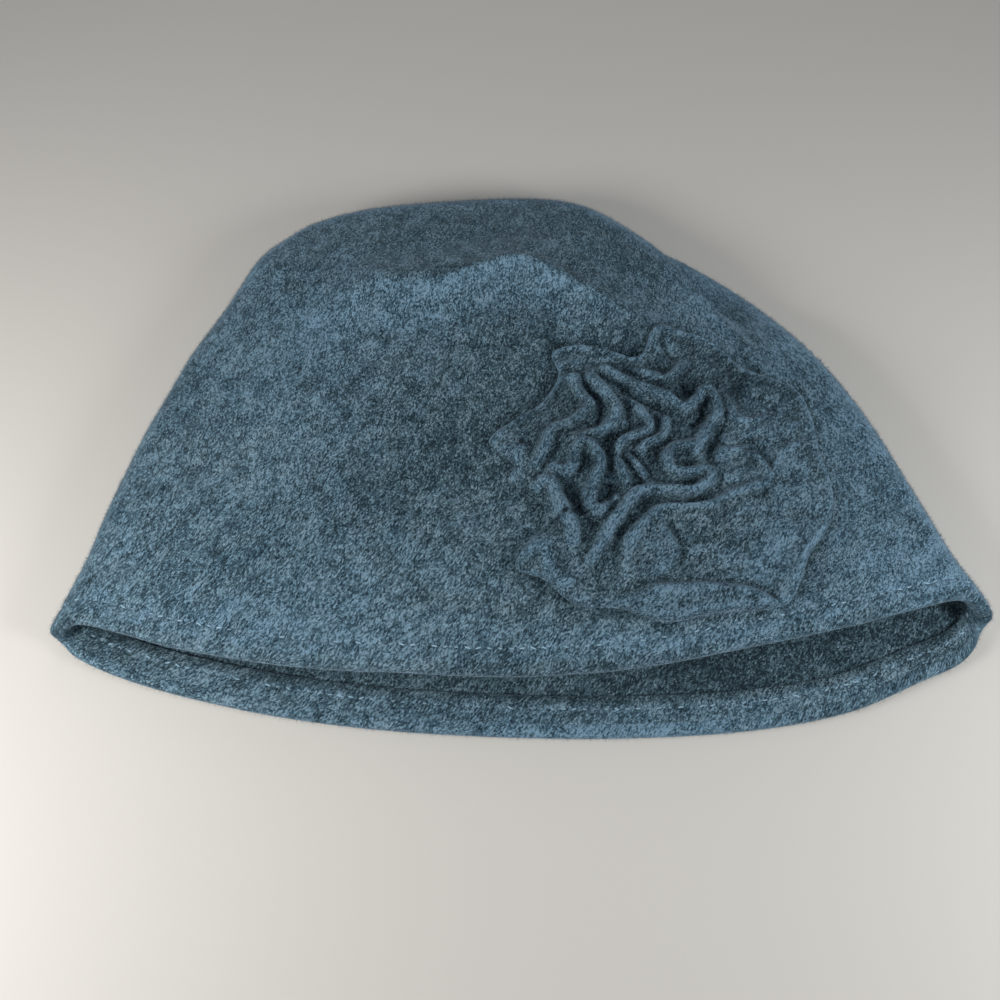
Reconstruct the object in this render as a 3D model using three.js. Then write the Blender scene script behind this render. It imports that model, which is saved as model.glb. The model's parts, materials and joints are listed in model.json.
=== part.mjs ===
// Soft wool hat lying flat on its back, mouth towards -Y and tip towards +Y.
// Millimetres, +X across the mouth, +Y from mouth to tip, +Z up from the floor.
import * as THREE from "three";
import { mergeVertices } from "three/addons/utils/BufferGeometryUtils.js";

// Driving sizes
const hatWidth = 280;
const hatLength = 190.6;
const wallThickness = 2.4;
const foldRadius = 7;
const bodyRise = 11;
const sideSlopeWidth = 75;
const tipSlopeWidth = 44;
const hemDepth = 11;
const hemThickness = 1.8;
const pieceGap = 0.35;
const rosetteRadius = 49;
const rosetteCloth = 2.1;
const rosetteMound = 1.2;
const tuckHeight = 4.6;
const tuckHalfWidth = 4.3;
const tuckSoftness = 0.9;

// Mesh steps
const stepsAcross = 36;
const rowsAlong = 18;
const rosetteSteps = 34;

const halfWidth = hatWidth / 2;
const halfLength = hatLength / 2;
const frontY = -halfLength;

// Side outlines from the mouth's corners to the tip's shoulders.
// along is a share of the length, reach a share of the half width.
const leftOutline = [
  { along: 0.154, reach: 1.0 },
  { along: 0.206, reach: 0.981 },
  { along: 0.274, reach: 0.952 },
  { along: 0.346, reach: 0.93 },
  { along: 0.418, reach: 0.904 },
  { along: 0.494, reach: 0.875 },
  { along: 0.572, reach: 0.836 },
  { along: 0.654, reach: 0.795 },
  { along: 0.739, reach: 0.738 },
  { along: 0.801, reach: 0.701 },
  { along: 0.837, reach: 0.682 },
  { along: 0.873, reach: 0.652 },
  { along: 0.91, reach: 0.603 },
];
const rightOutline = [
  { along: 0.177, reach: 1.0 },
  { along: 0.208, reach: 0.992 },
  { along: 0.274, reach: 0.949 },
  { along: 0.346, reach: 0.911 },
  { along: 0.418, reach: 0.874 },
  { along: 0.494, reach: 0.834 },
  { along: 0.572, reach: 0.784 },
  { along: 0.654, reach: 0.716 },
  { along: 0.739, reach: 0.626 },
  { along: 0.773, reach: 0.579 },
];
// Outline round the tip from left shoulder to right shoulder, as shares of width and length
const tipOutline = [
  { across: 0.0, along: 0.91 },
  { across: 0.051, along: 0.948 },
  { across: 0.148, along: 0.984 },
  { across: 0.257, along: 0.994 },
  { across: 0.45, along: 1.0 },
  { across: 0.577, along: 0.997 },
  { across: 0.646, along: 0.988 },
  { across: 0.7, along: 0.97 },
  { across: 0.77, along: 0.927 },
  { across: 0.81, along: 0.899 },
  { across: 0.855, along: 0.873 },
  { across: 0.915, along: 0.836 },
  { across: 0.97, along: 0.797 },
  { across: 1.0, along: 0.773 },
];

// The mouth's two edges from left corner to right corner.
// lower and upper are shares of the length, lift scales how far the upper edge stands open.
const mouthTable = [
  { across: 0.0, lower: 0.154, upper: 0.154, lift: 0.7 },
  { across: 0.03, lower: 0.122, upper: 0.158, lift: 0.7 },
  { across: 0.08, lower: 0.091, upper: 0.14, lift: 0.72 },
  { across: 0.15, lower: 0.0615, upper: 0.109, lift: 0.74 },
  { across: 0.25, lower: 0.031, upper: 0.081, lift: 0.72 },
  { across: 0.36, lower: 0.011, upper: 0.07, lift: 0.71 },
  { across: 0.5, lower: 0.0, upper: 0.0635, lift: 0.73 },
  { across: 0.62, lower: 0.0, upper: 0.079, lift: 0.8 },
  { across: 0.74, lower: 0.012, upper: 0.108, lift: 0.92 },
  { across: 0.84, lower: 0.04, upper: 0.139, lift: 1.02 },
  { across: 0.92, lower: 0.088, upper: 0.172, lift: 1.02 },
  { across: 0.97, lower: 0.123, upper: 0.193, lift: 0.92 },
  { across: 1.0, lower: 0.177, upper: 0.177, lift: 0.85 },
];

// Height of the upper layer above its folds, as a share of bodyRise, from mouth to tip
const heightTable = [
  { along: 0.0, rise: 0.86 },
  { along: 0.25, rise: 0.96 },
  { along: 0.5, rise: 1.04 },
  { along: 0.75, rise: 1.08 },
  { along: 1.0, rise: 1.0 },
];

// Soft creases of the crown: each crest runs between two points and bows by bend to its left.
// x, bend, front and back are shares of the half width, y of the half length,
// and height is a share of bodyRise; front and back are the widths of its two slopes.
const creaseTable = [
  { x0: -0.329, y0: 0.493, x1: 0.007, y1: 0.609, bend: -0.011, height: 0.45, front: 0.12, back: 0.157 },
  { x0: 0.007, y0: 0.609, x1: 0.286, y1: 0.304, bend: 0.017, height: 0.4, front: 0.107, back: 0.143 },
];

// The roll beside the tip: beyond this line the cloth drops to a low flap.
// drop is the share of the height that is lost, width a share of the half width.
const rollLine = { x0: 0.143, y0: 1.007, x1: 0.514, y1: 0.21, drop: 0.6, width: 0.107 };

// The rosette's centre as shares of the half width and half length, and its outline:
// reach is a share of its radius at each angle in degrees
const rosetteCentre = { x: 0.307, y: -0.189 };
const rosetteOutline = [
  { angle: 17, reach: 1.0 },
  { angle: 36, reach: 1.04 },
  { angle: 57, reach: 0.92 },
  { angle: 76, reach: 0.95 },
  { angle: 88, reach: 0.99 },
  { angle: 100, reach: 0.84 },
  { angle: 118, reach: 0.93 },
  { angle: 133, reach: 1.02 },
  { angle: 150, reach: 0.98 },
  { angle: 172, reach: 1.1 },
  { angle: 184, reach: 0.9 },
  { angle: 205, reach: 0.98 },
  { angle: 217, reach: 1.12 },
  { angle: 231, reach: 0.95 },
  { angle: 258, reach: 1.0 },
  { angle: 280, reach: 0.98 },
  { angle: 301, reach: 1.04 },
  { angle: 312, reach: 1.1 },
  { angle: 330, reach: 1.04 },
  { angle: 352, reach: 1.05 },
];

// Tucks of the rosette: crest from one point to another about its centre, bowed to its
// left by bend, in shares of its radius, with height and width as shares of the usual tuck.
const tuckTable = [
  { x0: -0.735, y0: 0.735, x1: -0.184, y1: 0.714, bend: 0.061, height: 0.8, width: 1.3 },
  { x0: -0.184, y0: 0.714, x1: 0.061, y1: 0.939, bend: -0.02, height: 0.9, width: 1.2 },
  { x0: 0.061, y0: 0.939, x1: 0.612, y1: 0.653, bend: 0.082, height: 0.45, width: 1.5 },
  { x0: -0.633, y0: 0.612, x1: -1.061, y1: 0.143, bend: 0.061, height: 0.9, width: 1.1 },
  { x0: -0.551, y0: 0.551, x1: -0.776, y1: -0.041, bend: 0.133, height: 0.95, width: 0.9 },
  { x0: -0.429, y0: 0.531, x1: -0.673, y1: 0.061, bend: 0.194, height: 1.0, width: 0.9 },
  { x0: -0.327, y0: 0.612, x1: 0.122, y1: 0.327, bend: -0.02, height: 1.0, width: 1.0 },
  { x0: 0.122, y0: 0.327, x1: 0.265, y1: 0.449, bend: -0.02, height: 1.0, width: 0.9 },
  { x0: 0.265, y0: 0.449, x1: 0.143, y1: 0, bend: 0.082, height: 1.0, width: 0.9 },
  { x0: -0.184, y0: 0.571, x1: 0.163, y1: 0.673, bend: -0.082, height: 0.8, width: 0.9 },
  { x0: -0.204, y0: 0.347, x1: -0.306, y1: 0.02, bend: 0.122, height: 0.85, width: 0.8 },
  { x0: 0, y0: 0.245, x1: -0.163, y1: 0, bend: 0.031, height: 0.8, width: 0.8 },
  { x0: 0.122, y0: 0.061, x1: 0, y1: -0.102, bend: -0.071, height: 0.9, width: 0.8 },
  { x0: 0, y0: -0.102, x1: 0.224, y1: -0.122, bend: 0.02, height: 0.95, width: 0.8 },
  { x0: 0.204, y0: -0.163, x1: -0.388, y1: -0.51, bend: -0.112, height: 1.0, width: 1.0 },
  { x0: -0.388, y0: -0.51, x1: -0.51, y1: -0.694, bend: 0, height: 0.9, width: 1.1 },
  { x0: -0.286, y0: -0.041, x1: -0.204, y1: -0.184, bend: 0, height: 0.8, width: 0.8 },
  { x0: -0.694, y0: -0.082, x1: -0.408, y1: -0.041, bend: 0.102, height: 0.9, width: 0.9 },
  { x0: -0.408, y0: -0.041, x1: -0.49, y1: -0.327, bend: 0, height: 0.9, width: 0.8 },
  { x0: -0.796, y0: -0.184, x1: -0.592, y1: -0.551, bend: 0.061, height: 0.95, width: 1.1 },
  { x0: -0.184, y0: -0.469, x1: 0.286, y1: -0.306, bend: 0.082, height: 0.8, width: 1.5 },
  { x0: 0.286, y0: -0.306, x1: 0.551, y1: -0.184, bend: -0.02, height: 0.6, width: 1.4 },
  { x0: 0.551, y0: -0.184, x1: 0.286, y1: 0.102, bend: 0.102, height: 0.5, width: 1.5 },
  { x0: -0.286, y0: -0.755, x1: -0.143, y1: -0.429, bend: 0.031, height: 0.7, width: 1.6 },
  { x0: -0.327, y0: -0.857, x1: 0.571, y1: -0.837, bend: 0.061, height: 0.4, width: 1.3 },
  { x0: -0.898, y0: -0.653, x1: -0.592, y1: -0.837, bend: 0.082, height: 0.55, width: 1.3 },
  { x0: 0.388, y0: 0.469, x1: 0.653, y1: 0.306, bend: -0.122, height: 0.6, width: 1.1 },
];

// A smooth curve through one column of a table, in order of its key column
function readTable(table, key, column, at) {
  const last = table.length - 1;
  if (at <= table[0][key]) return table[0][column];
  if (at >= table[last][key]) return table[last][column];
  let i = 0;
  while (at > table[i + 1][key]) i += 1;
  const slope = (a, b) => (table[b][column] - table[a][column]) / (table[b][key] - table[a][key]);
  const step = table[i + 1][key] - table[i][key];
  const t = (at - table[i][key]) / step;
  const m0 = slope(Math.max(i - 1, 0), i + 1) * step;
  const m1 = slope(i, Math.min(i + 2, last)) * step;
  const a = table[i][column];
  const b = table[i + 1][column];
  return (2 * t ** 3 - 3 * t ** 2 + 1) * a + (t ** 3 - 2 * t ** 2 + t) * m0
    + (3 * t ** 2 - 2 * t ** 3) * b + (t ** 3 - t ** 2) * m1;
}

const mix = (a, b, t) => a + (b - a) * t;
const clamp = (t) => Math.min(Math.max(t, 0), 1);
const crowd = (t) => t - (0.8 * Math.sin(2 * Math.PI * t)) / (2 * Math.PI);
const ease = (t) => clamp(t) ** 2 * (3 - 2 * clamp(t));
const quarterRound = (t) => Math.sqrt(Math.max(0, 1 - (1 - clamp(t)) ** 2));

// Plan position of the point at a share u across and a share v from mouth to tip
function planPoint(u, v, layer) {
  const leftAlong = mix(leftOutline[0].along, leftOutline.at(-1).along, v);
  const rightAlong = mix(rightOutline[0].along, rightOutline.at(-1).along, v);
  const leftX = -halfWidth * readTable(leftOutline, "along", "reach", leftAlong);
  const rightX = halfWidth * readTable(rightOutline, "along", "reach", rightAlong);
  const chord = mix(leftAlong, rightAlong, u);
  const mouthChord = mix(leftOutline[0].along, rightOutline[0].along, u);
  const mouthBow = readTable(mouthTable, "across", layer, u) - mouthChord;
  const tipChord = mix(leftOutline.at(-1).along, rightOutline.at(-1).along, u);
  const tipBow = readTable(tipOutline, "across", "along", u) - tipChord;
  const along = chord + mouthBow * (1 - v) ** 1.2 + tipBow * v ** 2;
  return [mix(leftX, rightX, u), frontY + hatLength * along];
}

// The folded outline, up the left side, round the tip and down the right side
const outlinePoints = [];
for (let i = 0; i <= 200; i += 1) outlinePoints.push(planPoint(0, i / 200, "lower"));
for (let i = 1; i < 300; i += 1) outlinePoints.push(planPoint(i / 300, 1, "lower"));
for (let i = 200; i >= 0; i -= 1) outlinePoints.push(planPoint(1, i / 200, "lower"));

function outlineDistance(x, y) {
  let best = Infinity;
  for (let i = 1; i < outlinePoints.length; i += 1) {
    const [ax, ay] = outlinePoints[i - 1];
    const [bx, by] = outlinePoints[i];
    const span = (bx - ax) ** 2 + (by - ay) ** 2;
    const t = span > 0 ? clamp(((x - ax) * (bx - ax) + (y - ay) * (by - ay)) / span) : 0;
    best = Math.min(best, Math.hypot(x - mix(ax, bx, t), y - mix(ay, by, t)));
  }
  return best;
}

// Share along a bowed line, signed distance to its left, and how far past its ends.
// The line's x, y and bend are shares of the lengths unitX, unitY and unitX.
function acrossLine(line, x, y, unitX, unitY) {
  const startX = line.x0 * unitX;
  const startY = line.y0 * unitY;
  const dx = line.x1 * unitX - startX;
  const dy = line.y1 * unitY - startY;
  const length = Math.hypot(dx, dy);
  const t = ((x - startX) * dx + (y - startY) * dy) / length ** 2;
  const side = ((y - startY) * dx - (x - startX) * dy) / length;
  const inside = clamp(t);
  const bow = (line.bend ?? 0) * unitX * 4 * inside * (1 - inside);
  return { t, side: side - bow, past: (t - inside) * length };
}

function creaseHeight(x, y) {
  let height = 0;
  for (const crease of creaseTable) {
    const { side, past } = acrossLine(crease, x, y, halfWidth, halfLength);
    const reach = (side < 0 ? crease.front : crease.back) * halfWidth;
    const away = Math.hypot(side / reach, past / (crease.front * halfWidth), 0.12);
    height = Math.max(height, bodyRise * crease.height * clamp(1.05 - away) ** 1.4);
  }
  return height;
}

function rollShare(x, y) {
  const { t, side } = acrossLine(rollLine, x, y, halfWidth, halfLength);
  const beyond = ease(0.5 + side / (rollLine.width * halfWidth));
  return rollLine.drop * beyond * (1 - ease((t - 0.55) / 0.5));
}

// Height of the crown's outer face, upper or lower layer
function crownHeight(x, y, u, v, layer) {
  const onOutline = Math.min(u, 1 - u, 1 - v) < 1e-6;
  const inwards = onOutline ? 0 : outlineDistance(x, y);
  const fold = foldRadius * quarterRound(inwards / foldRadius);
  if (layer === "lower") return foldRadius - fold;
  const slopeWidth = mix(sideSlopeWidth, tipSlopeWidth, ease((y / halfLength - 0.16) / 0.52));
  const slope = 1 - (1 - clamp(inwards / slopeWidth)) ** 1.7;
  const lift = mix(readTable(mouthTable, "across", "lift", u), 1, ease(v / 0.3));
  const rise = bodyRise * readTable(heightTable, "along", "rise", v);
  const body = (fold + rise * slope) * lift * (1 - rollShare(x, y));
  return foldRadius + body + creaseHeight(x, y) * slope;
}

// One closed loop round the hat at row v: upper layer left to right, lower layer back
function crownLoop(v) {
  const loop = [];
  for (let i = 0; i < 2 * stepsAcross; i += 1) {
    const layer = i <= stepsAcross ? "upper" : "lower";
    const step = Math.min(i, 2 * stepsAcross - i);
    const u = crowd(step / stepsAcross);
    const [x, y] = planPoint(u, v, layer);
    loop.push(new THREE.Vector3(x, y, crownHeight(x, y, u, v, layer)));
  }
  return loop;
}

// Rows from mouth to tip; the first three hold the hem and the last ones crowd at the tip
const hemShare = hemDepth / (hatLength * 0.95);
const rowShares = [0, hemShare * 0.5, hemShare];
for (let i = 1; i <= rowsAlong; i += 1) {
  rowShares.push(mix(hemShare, 1, 1 - (1 - i / rowsAlong) ** 1.55));
}
const outerLoops = rowShares.map(crownLoop);

// Joins loops of equal length into a surface, and returns its triangles
function joinLoops(loops, closeEnds) {
  const triangles = [];
  const count = loops[0].length;
  const pairs = closeEnds ? loops.length : loops.length - 1;
  for (let j = 0; j < pairs; j += 1) {
    const near = loops[j];
    const far = loops[(j + 1) % loops.length];
    for (let i = 0; i < count; i += 1) {
      const k = (i + 1) % count;
      triangles.push([near[i], near[k], far[k]], [near[i], far[k], far[i]]);
    }
  }
  return triangles;
}

function solidFrom(triangles) {
  const kept = triangles.filter(([a, b, c]) => {
    return a.distanceTo(b) > 1e-4 && b.distanceTo(c) > 1e-4 && c.distanceTo(a) > 1e-4;
  });
  let volume = 0;
  for (const [a, b, c] of kept) volume += a.dot(b.clone().cross(c)) / 6;
  const numbers = [];
  for (const [a, b, c] of kept) {
    for (const p of volume > 0 ? [a, b, c] : [a, c, b]) numbers.push(p.x, p.y, p.z);
  }
  const geometry = new THREE.BufferGeometry();
  geometry.setAttribute("position", new THREE.Float32BufferAttribute(numbers, 3));
  const merged = mergeVertices(geometry, 1e-4);
  merged.computeVertexNormals();
  return merged;
}

// Outward normal at each point of the crown's loops
function loopNormals(loops) {
  const key = (p) => `${p.x.toFixed(3)} ${p.y.toFixed(3)} ${p.z.toFixed(3)}`;
  const sums = new Map();
  const edge1 = new THREE.Vector3();
  const edge2 = new THREE.Vector3();
  for (const triangle of joinLoops(loops, false)) {
    for (let i = 0; i < 3; i += 1) {
      const [a, b, c] = [0, 1, 2].map((n) => triangle[(i + n) % 3]);
      edge1.subVectors(b, a);
      edge2.subVectors(c, a);
      if (edge1.lengthSq() < 1e-8 || edge2.lengthSq() < 1e-8) continue;
      const normal = new THREE.Vector3().crossVectors(edge1, edge2);
      if (normal.lengthSq() < 1e-10) continue;
      normal.normalize().multiplyScalar(edge1.angleTo(edge2));
      sums.set(key(a), (sums.get(key(a)) ?? new THREE.Vector3()).add(normal));
    }
  }
  return loops.map((loop) => loop.map((p) => sums.get(key(p)).clone().normalize()));
}

const crownNormals = loopNormals(outerLoops);
const facing = crownNormals[6][Math.round(stepsAcross / 2)].z > 0 ? 1 : -1;

// The same loops moved inwards by a depth below the outer face
function insetLoops(depth, rows) {
  return outerLoops.slice(0, rows).map((loop, j) => loop.map((p, i) => {
    return p.clone().addScaledVector(crownNormals[j][i], -facing * depth);
  }));
}

// A rim between two edge loops, rounded by pushing its middle out of the mouth
function roundedRim(edge, inner, next, bulge) {
  return edge.map((p, i) => {
    const out = p.clone().sub(next[i]).normalize();
    return p.clone().add(inner[i]).multiplyScalar(0.5).addScaledVector(out, bulge);
  });
}

const innerLoops = insetLoops(wallThickness, outerLoops.length);
const crownRim = roundedRim(outerLoops[0], innerLoops[0], outerLoops[1], 0.7);
const crownRings = [...innerLoops.slice().reverse(), crownRim, ...outerLoops];
const crownGeometry = solidFrom(joinLoops(crownRings, false));

// The turned-in hem: the cloth's edge lying against the inside of the mouth
const hemFaceDepth = wallThickness + pieceGap;
const hemRows = 3;
const hemFace = insetLoops(hemFaceDepth, hemRows);
const hemInner = insetLoops(hemFaceDepth + hemThickness, hemRows);
const hemRings = [...hemFace, ...hemInner.slice().reverse()];
const hemGeometry = solidFrom(joinLoops(hemRings, true));

// Height of the crown's upper outer face under a plan point, from its own facets
function upperFaceHeight(x, y) {
  let best = -Infinity;
  for (let j = 1; j < outerLoops.length; j += 1) {
    const near = outerLoops[j - 1];
    const far = outerLoops[j];
    for (let i = 0; i < stepsAcross; i += 1) {
      if (x < Math.min(near[i].x, far[i].x) - 1 || x > Math.max(near[i + 1].x, far[i + 1].x) + 1) continue;
      for (const [a, b, c] of [[near[i], near[i + 1], far[i + 1]], [near[i], far[i + 1], far[i]]]) {
        const area = (b.x - a.x) * (c.y - a.y) - (c.x - a.x) * (b.y - a.y);
        if (Math.abs(area) < 1e-6) continue;
        const s = ((x - a.x) * (c.y - a.y) - (c.x - a.x) * (y - a.y)) / area;
        const t = ((b.x - a.x) * (y - a.y) - (x - a.x) * (b.y - a.y)) / area;
        if (s < -1e-3 || t < -1e-3 || s + t > 1 + 1e-3) continue;
        best = Math.max(best, a.z + s * (b.z - a.z) + t * (c.z - a.z));
      }
    }
  }
  return best;
}

// Relief of the rosette's tucks about its centre, softened over a few near points
function tuckRelief(x, y) {
  let relief = 0;
  for (const [dx, dy] of [[-1, -1], [1, -1], [0, 0], [-1, 1], [1, 1]]) {
    let total = 0;
    for (const tuck of tuckTable) {
      const px = x + dx * tuckSoftness;
      const py = y + dy * tuckSoftness;
      const { side, past } = acrossLine(tuck, px, py, rosetteRadius, rosetteRadius);
      const away = Math.hypot(side, past) / (tuckHalfWidth * tuck.width);
      if (away < 1) total += (tuck.height * (1 - ease(away))) ** 4;
    }
    relief += (tuckHeight * total ** 0.25) / 5;
  }
  return relief;
}

// One point of the rosette: a square grid, -1 to 1 each way, drawn onto its outline
const wrappedOutline = [
  { ...rosetteOutline.at(-1), angle: rosetteOutline.at(-1).angle - 360 },
  ...rosetteOutline,
  { ...rosetteOutline[0], angle: rosetteOutline[0].angle + 360 },
];
function rosettePoints(a, b) {
  const x0 = a * Math.sqrt(1 - b ** 2 / 2);
  const y0 = b * Math.sqrt(1 - a ** 2 / 2);
  const share = Math.hypot(x0, y0);
  const degrees = ((Math.atan2(y0, x0) * 180) / Math.PI + 360) % 360;
  const reach = mix(1, readTable(wrappedOutline, "angle", "reach", degrees), ease(share * 1.3));
  const x = rosetteRadius * reach * x0;
  const y = rosetteRadius * reach * y0;
  const edgeFade = quarterRound((1 - share) * 8);
  const relief = (tuckRelief(x, y) + rosetteMound * (1 - share ** 2)) * edgeFade;
  const planX = x + rosetteCentre.x * halfWidth;
  const planY = y + rosetteCentre.y * halfLength;
  const base = upperFaceHeight(planX, planY) + pieceGap;
  const cloth = rosetteCloth * mix(0.6, 1, edgeFade);
  return {
    top: new THREE.Vector3(planX, planY, base + cloth + relief),
    under: new THREE.Vector3(planX, planY, base + relief * 0.9),
  };
}

// The rosette is one ruched cloth: its underside follows the tucks above it
const rosetteGrid = [];
for (let i = 0; i <= rosetteSteps; i += 1) {
  const row = [];
  for (let j = 0; j <= rosetteSteps; j += 1) {
    row.push(rosettePoints((2 * i) / rosetteSteps - 1, (2 * j) / rosetteSteps - 1));
  }
  rosetteGrid.push(row);
}
const rosetteTriangles = [];
const n = rosetteSteps;
for (let i = 0; i < n; i += 1) {
  for (let j = 0; j < n; j += 1) {
    const near = rosetteGrid[i];
    const far = rosetteGrid[i + 1];
    const corners = [near[j], far[j], far[j + 1], near[j + 1]];
    const [a, b, c, d] = corners.map((point) => point.top);
    const [e, f, g, h] = corners.map((point) => point.under);
    rosetteTriangles.push([a, b, c], [a, c, d], [e, g, f], [e, h, g]);
  }
}
for (let i = 0; i < n; i += 1) {
  const sides = [
    [rosetteGrid[i][0], rosetteGrid[i + 1][0]],
    [rosetteGrid[n][i], rosetteGrid[n][i + 1]],
    [rosetteGrid[n - i][n], rosetteGrid[n - i - 1][n]],
    [rosetteGrid[0][n - i], rosetteGrid[0][n - i - 1]],
  ];
  for (const [a, b] of sides) rosetteTriangles.push([a.under, b.under, b.top], [a.under, b.top, a.top]);
}
const rosetteGeometry = solidFrom(rosetteTriangles);

function addPiece(group, name, geometry, color) {
  const material = new THREE.MeshStandardMaterial({ color, roughness: 0.95, metalness: 0 });
  material.name = name;
  const mesh = new THREE.Mesh(geometry, material);
  mesh.name = name;
  group.add(mesh);
}

const group = new THREE.Group();
group.name = "wool_hat";
addPiece(group, "crown", crownGeometry, 0x4b6473);
addPiece(group, "hem", hemGeometry, 0x4a5e6b);
addPiece(group, "rosette", rosetteGeometry, 0x3f5666);

export default group;
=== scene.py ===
import json
import math

import bmesh
import bpy
import numpy as np
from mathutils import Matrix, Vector
from mathutils.bvhtree import BVHTree

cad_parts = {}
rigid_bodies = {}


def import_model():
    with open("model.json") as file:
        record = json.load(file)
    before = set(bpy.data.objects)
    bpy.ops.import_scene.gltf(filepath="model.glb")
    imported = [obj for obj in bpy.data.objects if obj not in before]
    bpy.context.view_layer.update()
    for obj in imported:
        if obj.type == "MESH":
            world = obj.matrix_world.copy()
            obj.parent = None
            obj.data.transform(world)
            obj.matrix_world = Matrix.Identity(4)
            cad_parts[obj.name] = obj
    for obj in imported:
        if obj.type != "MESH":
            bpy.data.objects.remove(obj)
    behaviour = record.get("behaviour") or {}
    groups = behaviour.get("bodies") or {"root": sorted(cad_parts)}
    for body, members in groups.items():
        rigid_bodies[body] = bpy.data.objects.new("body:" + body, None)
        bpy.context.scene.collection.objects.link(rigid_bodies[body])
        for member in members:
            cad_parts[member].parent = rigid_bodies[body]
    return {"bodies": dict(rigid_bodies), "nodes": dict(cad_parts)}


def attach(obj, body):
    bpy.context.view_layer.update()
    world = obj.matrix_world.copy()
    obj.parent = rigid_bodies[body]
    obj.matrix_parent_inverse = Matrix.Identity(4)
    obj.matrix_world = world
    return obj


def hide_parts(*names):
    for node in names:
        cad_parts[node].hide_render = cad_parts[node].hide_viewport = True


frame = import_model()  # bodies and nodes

# Lengths in this script are millimetres, made metres where a mesh is built.
mm = 0.001
loaded = set(frame["nodes"].values()) | set(frame["bodies"].values())
for thing in list(bpy.data.objects):
    if thing not in loaded:
        bpy.data.objects.remove(thing)
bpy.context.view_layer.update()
print("frame: nodes", sorted(frame["nodes"]))


def mix(a, b, t):
    return a + (b - a) * t


def clamp(t):
    return np.clip(t, 0.0, 1.0)


def ease(t):
    t = clamp(t)
    return t * t * (3 - 2 * t)


def quarterRound(t):
    return np.sqrt(np.maximum(0, 1 - (1 - clamp(t)) ** 2))


def bell(t):
    return np.exp(-(t**2))


def readTable(rows, column, at):
    # a smooth curve through one column, in order of the first one
    table = np.array(rows, float)
    keys, values = table[:, 0], table[:, column]
    last = len(keys) - 1
    before = np.maximum(np.arange(last + 1) - 1, 0)
    after = np.minimum(np.arange(last + 1) + 1, last)
    slopes = (values[after] - values[before]) / (keys[after] - keys[before])
    at = np.clip(at, keys[0], keys[last])
    i = np.clip(np.searchsorted(keys, at, side="right") - 1, 0, last - 1)
    step = keys[i + 1] - keys[i]
    t = (at - keys[i]) / step
    return ((2 * t**3 - 3 * t**2 + 1) * values[i] + (t**3 - 2 * t**2 + t) * slopes[i] * step
            + (3 * t**2 - 2 * t**3) * values[i + 1] + (t**3 - t**2) * slopes[i + 1] * step)


def softWaves(x, y, wavelength, seed, count=9):
    # gentle swells of the cloth, about -1 to 1
    rng = np.random.default_rng(seed)
    total = np.zeros(np.shape(x))
    for _ in range(count):
        angle, stretch = rng.uniform(0, math.tau), rng.uniform(0.7, 1.6)
        phase = rng.uniform(0, math.tau)
        k = math.tau / (wavelength * stretch)
        total += np.sin(k * (x * math.cos(angle) + y * math.sin(angle)) + phase)
    return total / math.sqrt(count)


def distanceTo(points, x, y):
    # distance to a line of points, its side (positive left) and the share along it
    best = np.full(np.shape(x), 1e9)
    side = np.zeros(np.shape(x))
    share = np.zeros(np.shape(x))
    count = len(points) - 1
    for i in range(count):
        (ax, ay), (bx, by) = points[i], points[i + 1]
        dx, dy = bx - ax, by - ay
        span = dx * dx + dy * dy
        if span < 1e-12:
            continue
        t = clamp(((x - ax) * dx + (y - ay) * dy) / span)
        away = np.hypot(x - ax - t * dx, y - ay - t * dy)
        nearer = away < best
        best = np.where(nearer, away, best)
        side = np.where(nearer, np.sign(dx * (y - ay) - dy * (x - ax)), side)
        share = np.where(nearer, (i + t) / count, share)
    return best, side, share


def smoothLine(points, steps=6):
    # rounds the corners of a given line
    p = np.array(points, float)
    if len(p) < 3:
        return p
    ends = np.vstack([2 * p[0] - p[1], p, 2 * p[-1] - p[-2]])
    line = []
    for i in range(1, len(ends) - 2):
        a, b, c, d = ends[i - 1], ends[i], ends[i + 1], ends[i + 2]
        for t in np.arange(steps) / steps:
            line.append(0.5 * (2 * b + (c - a) * t + (2 * a - 5 * b + 4 * c - d) * t**2
                               + (3 * b - a - 3 * c + d) * t**3))
    line.append(p[-1])
    return np.array(line)


def newObject(name, data):
    piece = bpy.data.objects.new(name, data)
    bpy.context.scene.collection.objects.link(piece)
    return piece


def pointField(mesh, name, values):
    field = mesh.attributes.new(name, "FLOAT", "POINT")
    field.data.foreach_set("value", np.asarray(values, np.float32).ravel())


def closeSkin(mesh, weld):
    # welds the seams, turns the faces outwards and shades them smooth
    shape = bmesh.new()
    shape.from_mesh(mesh)
    bmesh.ops.remove_doubles(shape, verts=shape.verts, dist=weld)
    bmesh.ops.recalc_face_normals(shape, faces=shape.faces)
    shape.to_mesh(mesh)
    shape.free()
    mesh.shade_smooth()


crownShape = {
    "width": 280.0,
    "length": 190.6,
    "wall": 2.4,
    "foldRadius": 7.0,
    "rise": 11.0,  # of the upper layer above its folds
    "sideSlope": 75.0,  # how far in from the side folds it rises
    "tipSlope": 44.0,  # and from the tip's fold
    "tipFrom": 0.16,  # where the tip's slope takes over, as shares of half the length
    "tipOver": 0.52,
    "slopePower": 1.7,
    "mouthLift": 0.3,  # share of the length that the mouth's own height reaches
    "swell": 0.3,  # height of the cloth's gentle swells
    "swellSize": 46,
    "ripple": 0.1,
    "rippleSize": 15,
    "swellIn": 14,  # both grow to their height this far in from the fold
    "stepsAcross": 200,
    "crowding": 0.93,  # how closely the steps crowd at the side folds
    "rows": 128,
    "rowCrowding": 1.35,  # and the rows at the tip's fold
    "innerRowStep": 3,
}
halfWidth = crownShape["width"] / 2
halfLength = crownShape["length"] / 2

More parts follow.
